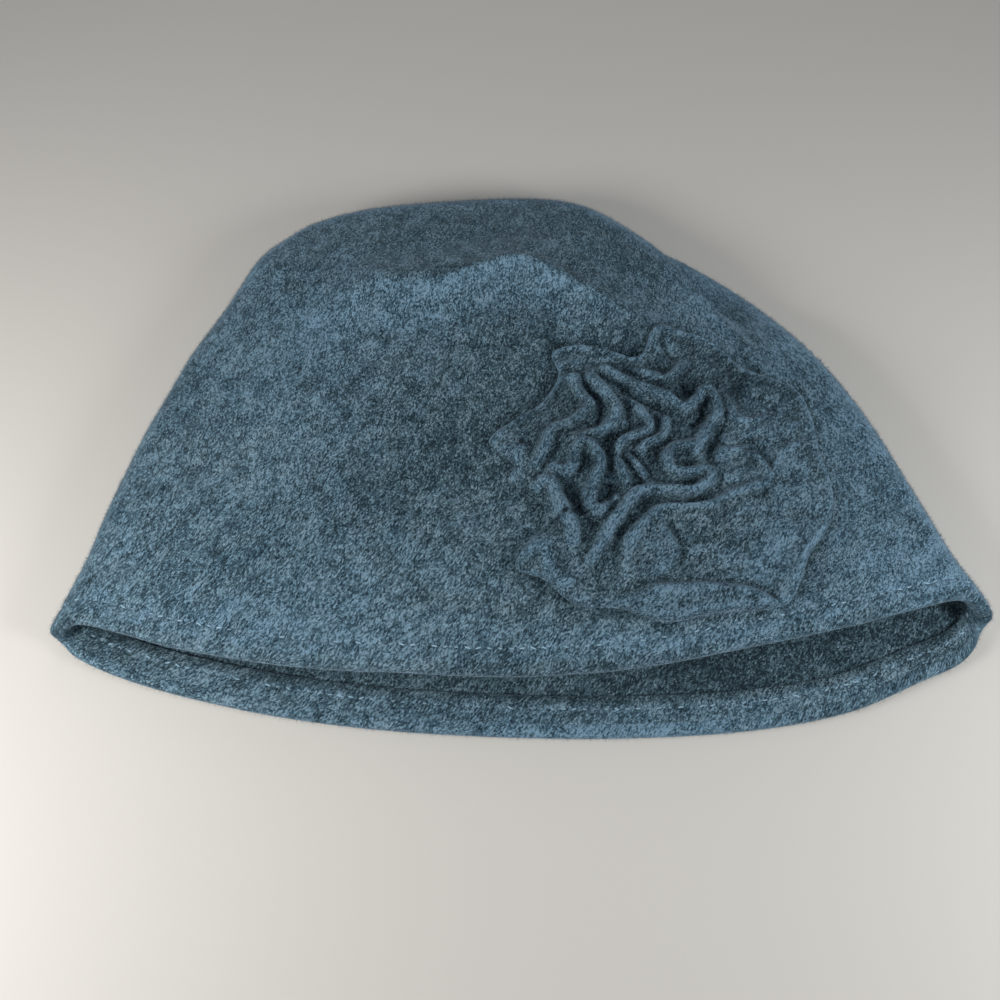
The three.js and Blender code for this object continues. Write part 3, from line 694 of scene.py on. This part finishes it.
# thin raised edges of the leaves
leafEdges = [
    [(27.8, 34), (37, 31.6), (43.2, 28.1), (46.6, 20.4), (47.4, 13.6)],
    [(-5.5, -17.8), (3.3, -16.7), (11.8, -15.8), (19.8, -12.2), (27.4, -9.2), (29.2, -5.4), (28.4, -1.4),
     (25, 1.2), (19.5, 2.3)],
    [(17.4, -40.6), (23.8, -43), (27.2, -45.6)],
    [(-8.3, -20.7), (-5, -23.1), (-1.9, -26.6), (0, -30.5), (-1.2, -34.7)],
    [(42.6, -24), (38, -29.1), (34.6, -35.3), (31, -41.6)],
    [(47, 6), (47.1, -2.2), (49, -9.2), (47, -17.2)],
    [(22, 21.9), (21.5, 14.2), (25, 12.1), (30.5, 13.5)],
    [(37.3, 11.7), (41.7, 13.1), (45, 11.8)],
    [(30.9, -5.3), (35.2, 2.2), (43.4, 7.5)],
    [(-3.2, 41.6), (1.4, 43.6), (6.7, 44.2), (15.3, 43), (21.5, 37.6), (27.8, 34)],
    [(-24.5, -8.4), (-24.9, -13.4), (-23.7, -18.4)],
]
# leaves, the flatter parts: x, y, half size along x and y, height
leaves = [
    (-10, 8, 29, 26, 1.0), (33, 17, 17, 15, 1.9), (39, -5, 13, 15, 2.1), (28, -27, 20, 15, 2.0),
    (8, -44, 24, 7, 1.9), (10, -23, 17, 8, 2.2), (-8, -30, 8, 11, 2.0), (21, -3, 10, 8, 2.3),
    (8, 37, 13, 10, 1.5), (-38, 13, 12, 8, 0.7), (-42, 0, 8, 9, 0.3), (-24, -36, 15, 9, 0.9),
    (-36, -32, 10, 8, 0.5), (-18, 33, 15, 6, 0.9),
]
# painted light and shade on the rosette, given as the crown's patches but about its centre
rosetteLightPatches = [
    (-33, 14, 12, 11, -0.12), (-14, -38, 12, 7, -0.08), (10, -24, 14, 8, -0.12), (31, -30, 13, 11, 0.11),
    (-3, 5, 30, 24, -0.03), (40, 4, 12, 18, 0.04), (-35, -30, 8, 8, 0.05), (5, -45, 22, 4, 0.04),
    (16, 32, 20, 11, -0.08), (-6, -28, 6, 9, 0.04),
]
def rosetteRelief(x, y):
    total = np.zeros(np.shape(x))
    blend = rosetteShape["tuckBlend"]
    for points, tall, left, right in tucks:
        away, side, share = distanceTo(smoothLine(points), x, y)
        t = away / np.where(side > 0, left, right)
        fade = 0.6 + 0.4 * ease(np.minimum(share, 1 - share) * 6)
        total += (tall * fade * clamp(1 - clamp(0.97 * t) ** 1.7) ** 1.5) ** blend
    uneven = 1 + rosetteShape["uneven"] * softWaves(x, y, 9, 12)
    relief = rosetteShape["tall"] * uneven * total ** (1 / blend)
    plain = np.zeros(np.shape(x))
    for cx, cy, rx, ry, tall in leaves:
        away = np.hypot((x - cx) / rx, (y - cy) / ry)
        plain = np.maximum(plain, tall * ease((1.25 - away) / 0.6))
    blend = rosetteShape["leafBlend"]
    relief = (relief**blend + plain**blend) ** (1 / blend)
    ridges = [(points, rosetteShape["edgeTall"], rosetteShape["edgeWide"], 0.2) for points in leafEdges]
    ridges += [(points, -deep, wide, 0.15) for points, deep, wide in grooves]
    for points, tall, wide, least in ridges:
        away, _, share = distanceTo(smoothLine(points), x, y)
        fade = ease(np.minimum(share, 1 - share) * 5 + least)
        relief = relief + tall * fade * bell(away / wide)
    return relief + 0.25 * softWaves(x, y, 12, 8) + 0.1 * softWaves(x, y, 5, 9)


def blurred(field, radius):
    for axis in (0, 1):
        pad = [(radius, radius) if a == axis else (0, 0) for a in (0, 1)]
        total = np.insert(np.cumsum(np.pad(field, pad, mode="edge"), axis=axis), 0, 0, axis=axis)
        count = field.shape[axis]
        ahead = np.take(total, np.arange(2 * radius + 1, 2 * radius + 1 + count), axis)
        field = (ahead - np.take(total, np.arange(count), axis)) / (2 * radius + 1)
    return field


def buildRosette():
    crownTree = BVHTree.FromObject(crownCloth, bpy.context.evaluated_depsgraph_get())
    line = np.linspace(-1, 1, rosetteShape["steps"] + 1)
    a, b = np.meshgrid(line, line, indexing="ij")
    x0, y0 = a * np.sqrt(1 - b**2 / 2), b * np.sqrt(1 - a**2 / 2)  # a square grid drawn out to a disc
    share = np.hypot(x0, y0)
    reach, stand, edgeThick = rimAt(np.degrees(np.arctan2(y0, x0)) % 360)
    spread = mix(rosetteShape["reach"], reach, ease(share * 1.3))
    x, y = spread * x0, spread * y0
    inEdge = (1 - share) * spread  # distance in from the rim
    cx, cy = rosetteShape["centre"]
    base = np.empty(x.shape)
    for i, j in np.ndindex(x.shape):
        above = Vector(((x[i, j] + cx) * mm, (y[i, j] + cy) * mm, 0.1))
        base[i, j] = crownTree.ray_cast(above, Vector((0, 0, -1)))[0].z / mm

    relief = rosetteRelief(x, y) * ease(inEdge / 2.6 + 0.25)
    relief = np.maximum(relief + rosetteShape["mound"] * (1 - share**2), 0)
    lift = rosetteShape["rimLift"] * stand * ease(1 - inEdge / 8)
    cloth = mix(edgeThick, rosetteShape["cloth"], ease(inEdge / 6))
    roundOff = quarterRound(inEdge / 1.1)
    follow = 0.75 * relief * ease(inEdge / 4)  # the underside follows the folds
    middle = base + rosetteShape["seat"] + lift + cloth / 2 + follow
    top = middle + (cloth / 2 + relief - follow) * roundOff
    under = middle - (cloth / 2) * roundOff
    points = [np.stack([x + cx, y + cy, z], -1).reshape(-1, 3) for z in (top, under)]
    index = np.arange(x.size).reshape(x.shape)
    quads = np.stack([index[:-1, :-1], index[1:, :-1], index[1:, 1:], index[:-1, 1:]], -1).reshape(-1, 4)
    mesh = bpy.data.meshes.new("rosetteCloth")
    mesh.from_pydata((np.concatenate(points) * mm).tolist(), [],
                     np.concatenate([quads, quads[:, ::-1] + x.size]).tolist())

    # crests lighter, partly worn and partly a painted highlight, and grooves darker with painted shade
    wide, fine = (relief - blurred(blurred(relief, radius), radius) for radius in (5, 2))
    tone = np.clip((0.7 * wide + 1.2 * fine) * rosetteShape["foldShadeAndWear"], *rosetteShape["foldLimits"])
    # painted light and shade patches
    tone = tone + patchTone(rosetteLightPatches, x, y)
    upper = ease(y / 20)  # the painted highlight on the rim shows most on the far side
    tone = tone + rosetteShape["rimHighlight"] * (1 + 1.3 * upper) * (stand + 0.6 * upper) * bell(inEdge / 1.7)
    tone = tone + rosetteShape["rimShade"] * stand * bell((inEdge - 5.5) / 3.5) * (y > 0)
    pointField(mesh, "lightAndWear", [tone, 0 * tone])
    closeSkin(mesh, 1e-6)
    return newObject("rosetteCloth", mesh)


rosetteCloth = buildRosette()
print("rosette: faces", len(rosetteCloth.data.polygons))


def srgb(red, green, blue):
    def linear(c):
        c /= 255
        return c / 12.92 if c <= 0.04045 else ((c + 0.055) / 1.055) ** 2.4
    return linear(red), linear(green), linear(blue), 1.0


woolFinish = {
    "dark": srgb(30, 43, 51),
    "middle": srgb(69, 92, 104),
    "light": srgb(124, 149, 165),
    "contrast": 2.0,
    "fleckLong": 0.85,
    "fleckWide": 0.4,
    "fleckLean": 56,  # degrees from across the mouth
    "cellLong": 1.0,
    "cellWide": 0.5,
    "cellContrast": 0.55,
    "mottleSize": 7.0,
    "mottleContrast": 0.8,
    "broadContrast": 0.35,
    "waleWidth": 1.7,
    "courseHeight": 1.25,
    "knitContrast": 0.09,
    "bumpDepth": 0.35,
    "bumpStrength": 0.45,
    "greyCast": (1.03, 1.0, 0.96, 1.0),
    "blueCast": (0.93, 1.01, 1.07, 1.0),
    "castSpread": 1.5,
    "castByPaintedLight": 4.5,  # the painted light is bluer, as the sheen of the fuzz
    "sheen": 0.32,
    "sheenTint": (0.6, 0.8, 1.0, 1.0),
}


class Nodes:
    def __init__(self, tree):
        self.tree = tree
        tree.nodes.clear()

    def add(self, kind, inputs=None, **settings):
        node = self.tree.nodes.new(kind)
        for name, value in settings.items():
            setattr(node, name, value)
        for name, value in (inputs or {}).items():
            self.set(node.inputs[name], value)
        return node

    def set(self, socket, value):
        if isinstance(value, bpy.types.NodeSocket):
            self.tree.links.new(value, socket)
        else:
            socket.default_value = value

    def math(self, operation, a, b=0.0, c=0.0):
        node = self.add("ShaderNodeMath", operation=operation)
        for socket, value in zip(node.inputs, (a, b, c)):
            self.set(socket, value)
        return node.outputs[0]


def newMaterial(name):
    material = bpy.data.materials.new(name)
    material.use_nodes = True
    return material, Nodes(material.node_tree)


def woolRamp(nodes, factor, tint, stops):
    # a ramp between the wool's shades, each at its place
    ramp = nodes.add("ShaderNodeValToRGB", {"Fac": factor})
    points = ramp.color_ramp.elements
    stops = [(at, [c * tint for c in woolFinish[shade][:3]] + [1]) for at, shade in stops]
    points[0].position, points[0].color = stops[0]
    points[1].position, points[1].color = stops[-1]
    for at, colour in stops[1:-1]:
        points.new(at).color = colour
    return ramp.outputs["Color"]


def woolMaterial(name, uvMap, seed, tint=1.0):
    finish = woolFinish
    material, nodes = newMaterial(name)
    if uvMap:
        place = nodes.add("ShaderNodeUVMap", uv_map=uvMap).outputs["UV"]
    else:
        place = nodes.add("ShaderNodeTexCoord").outputs["Object"]

    def stretched(long, wide, turn, offset):
        shift = seed + offset
        return nodes.add("ShaderNodeMapping", {
            "Vector": place, "Location": (shift, shift * 0.7, 0), "Rotation": (0, 0, turn),
            "Scale": (long * mm, wide * mm, wide * mm)}, vector_type="TEXTURE").outputs["Vector"]

    def noise(long, wide, turn, offset, detail, roughness):
        return nodes.add("ShaderNodeTexNoise", {
            "Vector": stretched(long, wide, turn, offset), "Scale": 1.0, "Detail": detail,
            "Roughness": roughness}).outputs["Fac"]

    def around(value, centre, factor, onto):
        # onto, and factor times how far the value is from its centre
        return nodes.math("MULTIPLY_ADD", nodes.math("SUBTRACT", value, centre), factor, onto)

    long, wide, angle = finish["fleckLong"], finish["fleckWide"], math.radians(finish["fleckLean"])
    fleck = noise(long, wide, angle, 0, 2.0, 0.6)
    otherFleck = noise(long * 0.9, wide, angle - 0.6, 3, 2.0, 0.6)
    cells = nodes.add("ShaderNodeTexVoronoi", {
        "Vector": stretched(finish["cellLong"], finish["cellWide"], angle, 1), "Scale": 1.0})
    cell = nodes.add("ShaderNodeSeparateColor", {"Color": cells.outputs["Color"]}).outputs[0]
    patch = noise(14, 11, 0.4, 5, 1.0, 0.5)
    mottle = noise(finish["mottleSize"], finish["mottleSize"] * 0.7, 0.7, 7, 3.0, 0.55)
    broad = noise(48, 36, 0.2, 9, 1.0, 0.5)
    hue = noise(8, 6, 0.5, 11, 2.0, 0.5)

    # knit legs: slanting rows that turn over at each wale
    parts = nodes.add("ShaderNodeSeparateXYZ", {"Vector": place}).outputs
    wobble = nodes.math("MULTIPLY_ADD", mottle, 1.6 * mm, parts["X"])
    wale = nodes.math("PINGPONG", nodes.math("DIVIDE", wobble, finish["waleWidth"] * mm), 0.5)
    course = nodes.math("DIVIDE", parts["Y"], finish["courseHeight"] * mm)
    phase = nodes.math("MULTIPLY_ADD", wale, -1.2, nodes.math("MULTIPLY_ADD", mottle, 1.2, course))
    leg = nodes.math("SINE", nodes.math("MULTIPLY", phase, math.tau))
    valley = nodes.math("COSINE", nodes.math("MULTIPLY", wale, 2 * math.tau))
    knit = nodes.math("MULTIPLY_ADD", valley, -0.22, nodes.math("MULTIPLY", leg, 0.3))

    # the fleck leans one way here and the other way there
    whichLean = nodes.add("ShaderNodeClamp", {"Value": around(patch, 0.42, 5.0, 0.5)}).outputs[0]
    blend = nodes.add("ShaderNodeMix", {
        0: whichLean, 2: otherFleck, 3: fleck}, data_type="FLOAT").outputs[0]
    tone = around(blend, 0.5, finish["contrast"], 0.5)
    for pattern, kind in ((cell, "cell"), (mottle, "mottle"), (broad, "broad")):
        tone = around(pattern, 0.5, finish[kind + "Contrast"], tone)
    tone = nodes.math("MULTIPLY_ADD", knit, finish["knitContrast"], tone)
    # painted light and shade, with some wear, laid into the tone
    lightAndWear = nodes.add("ShaderNodeAttribute", attribute_name="lightAndWear").outputs["Fac"]
    tone = nodes.math("ADD", tone, lightAndWear)
    shade = woolRamp(nodes, tone, tint, [(0.12, "dark"), (0.5, "middle"), (0.9, "light")])

    # painted light made bluer, as sheen
    paintedLightCast = nodes.math("MULTIPLY_ADD", lightAndWear, finish["castByPaintedLight"], 0.5)
    cast = nodes.add("ShaderNodeMix", {
        0: around(hue, 0.5, finish["castSpread"], paintedLightCast), 6: finish["greyCast"],
        7: finish["blueCast"]}, data_type="RGBA").outputs[2]
    colour = nodes.add("ShaderNodeMix", {
        0: 1.0, 6: shade, 7: cast}, data_type="RGBA", blend_type="MULTIPLY").outputs[2]
    height = nodes.math("MULTIPLY_ADD", knit, 0.25, blend)
    bump = nodes.add("ShaderNodeBump", {
        "Height": height, "Strength": finish["bumpStrength"], "Distance": finish["bumpDepth"] * mm})
    wool = nodes.add("ShaderNodeBsdfPrincipled", {
        "Base Color": colour, "Roughness": 0.95, "Specular IOR Level": 0.04,
        "Sheen Weight": finish["sheen"], "Sheen Roughness": 0.4, "Sheen Tint": finish["sheenTint"],
        "Normal": bump.outputs["Normal"]})
    nodes.add("ShaderNodeOutputMaterial", {"Surface": wool.outputs[0]})
    return material


def fibreMaterial(name, tint):
    material, nodes = newMaterial(name)
    fleck = nodes.add("ShaderNodeAttribute", attribute_name="fleck").outputs["Fac"]
    fibre = nodes.add("ShaderNodeBsdfPrincipled", {
        "Base Color": woolRamp(nodes, fleck, tint, [(0, "dark"), (1, "light")]),
        "Roughness": 0.9, "Specular IOR Level": 0.1, "Sheen Weight": 0.25, "Sheen Roughness": 0.5,
        "Sheen Tint": woolFinish["sheenTint"]})
    nodes.add("ShaderNodeOutputMaterial", {"Surface": fibre.outputs[0]})
    return material


crownCloth.data.materials.append(woolMaterial("crownWool", "cloth", 0.0))
hemBand.data.materials.append(woolMaterial("hemWool", "cloth", 2.0, tint=1.08))
rosetteCloth.data.materials.append(woolMaterial("rosetteWool", None, 4.0, tint=0.89))
fibreWool = fibreMaterial("fibreWool", 1.0)
threadWool = fibreMaterial("threadWool", 1.65)
print("wool finishes made")


fibres = {
    "crownDensity": 0.42,  # fibres in a square millimetre
    "rosetteDensity": 1.7,
    "rimDensity": 9.0,  # added at the folds, times the crown's
    "mouthDensity": 4.0,  # on the rolled edge, times the crown's
    "length": 1.3,
    "thickness": 0.08,
    "lean": 1.5,
    "seed": 11,
}


def startTree(name, fields):
    # a node group that takes a mesh and these fields, and their sockets' identifiers
    tree = bpy.data.node_groups.new(name, "GeometryNodeTree")
    tree.interface.new_socket(name="Geometry", in_out="INPUT", socket_type="NodeSocketGeometry")
    ids = {}
    for field, kind in fields.items():
        socket = tree.interface.new_socket(name=field, in_out="INPUT", socket_type="NodeSocket" + kind)
        ids[field] = socket.identifier
    tree.interface.new_socket(name="Geometry", in_out="OUTPUT", socket_type="NodeSocketGeometry")
    nodes = Nodes(tree)
    return nodes, ids, nodes.add("NodeGroupInput").outputs


def finishTree(nodes, placed, fleck, material):
    # keeps each copy's shade, then makes the copies real
    flecked = nodes.add("GeometryNodeStoreNamedAttribute", {
        "Geometry": placed, "Name": "fleck", "Value": fleck}, data_type="FLOAT", domain="INSTANCE")
    real = nodes.add("GeometryNodeRealizeInstances", {"Geometry": flecked.outputs[0]}).outputs[0]
    dressed = nodes.add("GeometryNodeSetMaterial", {"Geometry": real, "Material": material})
    nodes.add("NodeGroupOutput", {0: dressed.outputs[0]})


def randomValue(nodes, low, high, seed):
    # a random number between two, or a random vector between two vectors
    kind, first, made = ("FLOAT_VECTOR", 0, 0) if isinstance(low, tuple) else ("FLOAT", 2, 1)
    return nodes.add("FunctionNodeRandomValue", {
        first: low, first + 1: high, "Seed": seed}, data_type=kind).outputs[made]


def fibreTree():
    nodes, ids, given = startTree("woolFibres", {
        "density": "Float", "length": "Float", "thickness": "Float", "lean": "Float", "seed": "Int",
        "material": "Material"})

    def varied(low, high, offset):
        return randomValue(nodes, low, high, nodes.math("ADD", given["seed"], offset))

    fuzz = nodes.add("GeometryNodeInputNamedAttribute", {"Name": "fuzz"}, data_type="FLOAT").outputs[0]
    density = nodes.math("MULTIPLY", fuzz, given["density"])
    scattered = nodes.add("GeometryNodeDistributePointsOnFaces", {
        "Mesh": given["Geometry"], "Density": density, "Seed": given["seed"]}).outputs
    stray = nodes.add("ShaderNodeVectorMath", {
        0: varied((-1, -1, -1), (1, 1, 1), 1.0), "Scale": given["lean"]}, operation="SCALE").outputs[0]
    heading = nodes.add("ShaderNodeVectorMath", {
        0: stray, 1: scattered["Normal"]}, operation="ADD").outputs[0]
    turned = nodes.add("FunctionNodeAlignRotationToVector", {"Vector": heading}, axis="Z").outputs[0]
    long = nodes.math("MULTIPLY", given["length"], varied(0.45, 1.25, 2.0))
    thick = nodes.math("MULTIPLY", given["thickness"], varied(0.6, 1.3, 3.0))
    size = nodes.add("ShaderNodeCombineXYZ", {"X": thick, "Y": thick, "Z": long}).outputs[0]
    spike = nodes.add("GeometryNodeMeshCone", {
        "Vertices": 3, "Radius Top": 0.0, "Radius Bottom": 0.5, "Depth": 1.0}, fill_type="NONE")
    placed = nodes.add("GeometryNodeInstanceOnPoints", {
        "Points": scattered["Points"], "Instance": spike.outputs["Mesh"], "Rotation": turned,
        "Scale": size}).outputs[0]
    finishTree(nodes, placed, varied(0.0, 1.0, 4.0), given["material"])
    return nodes.tree, ids


def stitchTree():
    nodes, ids, given = startTree("hemStitches", {
        "pitch": "Float", "length": "Float", "thread": "Float", "seed": "Int", "material": "Material"})
    seed = given["seed"]
    curve = nodes.add("GeometryNodeMeshToCurve", {"Mesh": given["Geometry"]}).outputs[0]
    spaced = nodes.add("GeometryNodeResampleCurve", {
        "Curve": curve, "Length": given["pitch"]}, mode="LENGTH").outputs[0]
    along = nodes.add("GeometryNodeInputTangent").outputs[0]
    stray = randomValue(nodes, (-0.5, -0.5, -0.1), (0.5, 0.5, 0.1), seed)
    heading = nodes.add("ShaderNodeVectorMath", {0: along, 1: stray}, operation="ADD").outputs[0]
    turned = nodes.add("FunctionNodeAlignRotationToVector", {"Vector": heading}, axis="X").outputs[0]
    bead = nodes.add("GeometryNodeMeshUVSphere", {"Segments": 8, "Rings": 5, "Radius": 0.5})
    long = nodes.math("MULTIPLY", given["length"], randomValue(nodes, 0.6, 1.25, seed))
    thick = given["thread"]
    size = nodes.add("ShaderNodeCombineXYZ", {"X": long, "Y": thick, "Z": thick}).outputs[0]
    placed = nodes.add("GeometryNodeInstanceOnPoints", {
        "Points": spaced, "Instance": bead.outputs["Mesh"], "Rotation": turned,
        "Scale": size}).outputs[0]
    finishTree(nodes, placed, randomValue(nodes, 0.45, 1.0, seed), given["material"])
    return nodes.tree, ids


def grown(name, source, tree, ids, values):
    # runs a tree on a mesh, and keeps the result as a plain mesh in its place
    carrier = newObject(name + "Source", source)
    grow = carrier.modifiers.new("grow", "NODES")
    grow.node_group = tree
    for key, value in values.items():
        grow[ids[key]] = value
    bpy.context.view_layer.update()
    made = carrier.evaluated_get(bpy.context.evaluated_depsgraph_get())
    mesh = bpy.data.meshes.new_from_object(made)
    carrier.modifiers.clear()
    bpy.data.objects.remove(carrier)
    bpy.data.meshes.remove(source)
    mesh.name = name
    flat = np.empty(len(mesh.vertices) * 3, np.float32)
    mesh.vertices.foreach_get("co", flat)
    flat[2::3] = np.maximum(flat[2::3], 0.03 * mm)  # nothing reaches below the floor
    mesh.vertices.foreach_set("co", flat)
    print(name + ": faces", len(mesh.polygons))
    return newObject(name, mesh)


def outerSkin():
    # the crown's outside alone, with more fuzz round its folds and edge, and none underneath
    back, out = hemShape["rollBack"], hemShape["rollOut"]
    lip = [ringAt(-out * math.sin(t), back / 2 * (1 - math.cos(t))) for t in (2.2, 1.6, 1.0, 0.5)]
    points = np.concatenate([np.array(lip), outerDented])
    count = points.shape[1]
    steps = np.arange(count)
    quads = []
    for j in range(len(points) - 1):
        a, b = j * count + steps, j * count + (steps + 1) % count
        quads.append(np.stack([a, b, b + count, a + count], 1))
    quads = np.concatenate(quads)
    row, step = 60, count // 4  # a place on the upper layer, where the faces must point up
    corner = points[row, step]
    if np.cross(points[row, step + 1] - corner, points[row + 1, step] - corner)[2] < 0:
        quads = quads[:, ::-1]
    mesh = bpy.data.meshes.new("outerSkin")
    mesh.from_pydata((points.reshape(-1, 3) * mm).tolist(), [], quads.tolist())
    fuzz = 1 + fibres["rimDensity"] * bell(gIn / 5)
    fuzz = np.where(~gridUpper & (gIn > 7), 0.0, fuzz)
    pointField(mesh, "fuzz", np.concatenate([np.full((len(lip), count), fibres["mouthDensity"]), fuzz]))
    return mesh


def rosetteSkin():
    mesh = rosetteCloth.data.copy()
    upwards = np.array([v.normal.z for v in mesh.vertices])
    pointField(mesh, "fuzz", np.where(upwards > 0.1, 1.0, 0.0))
    return mesh


def buildFibres():
    tree, ids = fibreTree()
    values = {"length": fibres["length"] * mm, "thickness": fibres["thickness"] * mm,
              "lean": fibres["lean"], "material": fibreWool}
    pieces = []
    for name, skin, density, seed in (
            ("crownFibres", outerSkin, fibres["crownDensity"], fibres["seed"]),
            ("rosetteFibres", rosetteSkin, fibres["rosetteDensity"], fibres["seed"] + 20)):
        pieces.append(grown(name, skin(), tree, ids, {**values, "density": density * 1e6, "seed": seed}))
    return pieces


stitches = {
    "pitch": 3.1,
    "length": 1.5,
    "thread": 0.46,
    "proudOutside": 0.2,  # above the bottom of the dent
    "proudInside": -0.12,
    "seed": 5,
}


def buildStitches():
    tree, ids = stitchTree()
    values = {key: stitches[key] * mm for key in ("pitch", "length", "thread")}
    pieces = []
    for name, depth, seed in (
            ("hemStitchesOutside", hemShape["stitchDent"] - stitches["proudOutside"], 1),
            ("hemStitchesInside", hemShape["rollBack"] - hemShape["stitchPress"] - stitches["proudInside"], 2)):
        ring = ringAt(hemShape["stitchLine"], depth)
        count = len(ring)
        mesh = bpy.data.meshes.new(name + "Path")
        mesh.from_pydata((ring * mm).tolist(), [(i, (i + 1) % count) for i in range(count)], [])
        pieces.append(grown(name, mesh, tree, ids, {
            **values, "seed": stitches["seed"] + seed, "material": threadWool}))
    return pieces


crownFibres, rosetteFibres = buildFibres()
stitchesOutside, stitchesInside = buildStitches()


for piece, slot, node in (
        (crownCloth, "crown", "crown"), (hemBand, "hem", "hem"), (rosetteCloth, "rosette", "rosette"),
        (crownFibres, "crown", None), (rosetteFibres, "rosette", None),
        (stitchesOutside, "hem", None), (stitchesInside, "hem", None)):
    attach(piece, "root")
    if node:
        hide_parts(node)


studio = {
    "floor": srgb(206, 202, 196),
    "floorHalf": 1.6,  # this and the lights' places are metres
    "sky": 0.2,
    "skyColour": (0.9, 0.95, 1.0, 1.0),
    # place, aim, width, power, colour
    "lights": {
        "keyLeft": ((-0.31, -0.17, 0.21), (-0.03, -0.01, 0.0), 0.16, 1.2, (1.0, 0.99, 0.97)),
        "fillRight": ((0.33, -0.17, 0.21), (0.05, -0.01, 0.0), 0.16, 0.92, (0.97, 0.99, 1.0)),
        "backSoft": ((0.0, 0.7, 0.6), (0.0, 0.0, 0.0), 0.5, 0.85, (0.95, 0.98, 1.0)),
    },
}


def buildStudio():
    half = studio["floorHalf"]
    corners = [(-half, -half, 0), (half, -half, 0), (half, half, 0), (-half, half, 0)]
    mesh = bpy.data.meshes.new("studioFloor")
    mesh.from_pydata(corners, [], [(0, 1, 2, 3)])
    floor = newObject("studioFloor", mesh)
    material, nodes = newMaterial("paleFloor")
    pale = nodes.add("ShaderNodeBsdfPrincipled", {
        "Base Color": studio["floor"], "Roughness": 0.7, "Specular IOR Level": 0.2})
    nodes.add("ShaderNodeOutputMaterial", {"Surface": pale.outputs[0]})
    mesh.materials.append(material)
    world = bpy.data.worlds.new("studioWorld")
    bpy.context.scene.world = world
    world.use_nodes = True
    sky = world.node_tree.nodes["Background"].inputs
    sky["Color"].default_value = studio["skyColour"]
    sky["Strength"].default_value = studio["sky"]
    for name, (place, aim, width, power, colour) in studio["lights"].items():
        light = bpy.data.lights.new(name, "AREA")
        light.shape = "DISK"
        light.size = width
        light.energy = power
        light.color = colour
        lamp = newObject(name, light)
        lamp.location = place
        lamp.rotation_euler = (Vector(aim) - Vector(place)).to_track_quat("-Z", "Y").to_euler()


viewpoint = {
    "target": (-6.65, -19.3, 0.0),
    "slope": 65,  # degrees down
    "distance": 323.0,
    "sensor": 36.0,
    "lens": 36.108,
}


def buildCamera():
    slope = math.radians(viewpoint["slope"])
    data = bpy.data.cameras.new("hatCamera")
    data.sensor_width = viewpoint["sensor"]
    data.lens = viewpoint["lens"]
    data.clip_start = 0.01
    camera = newObject("hatCamera", data)
    back = Vector((0, -math.cos(slope), math.sin(slope)))
    camera.location = Vector(viewpoint["target"]) * mm + back * (viewpoint["distance"] * mm)
    camera.rotation_euler = (math.radians(90) - slope, 0, 0)
    bpy.context.scene.camera = camera


buildStudio()
buildCamera()
bpy.context.scene.view_settings.view_transform = "Standard"
print("studio and camera set")
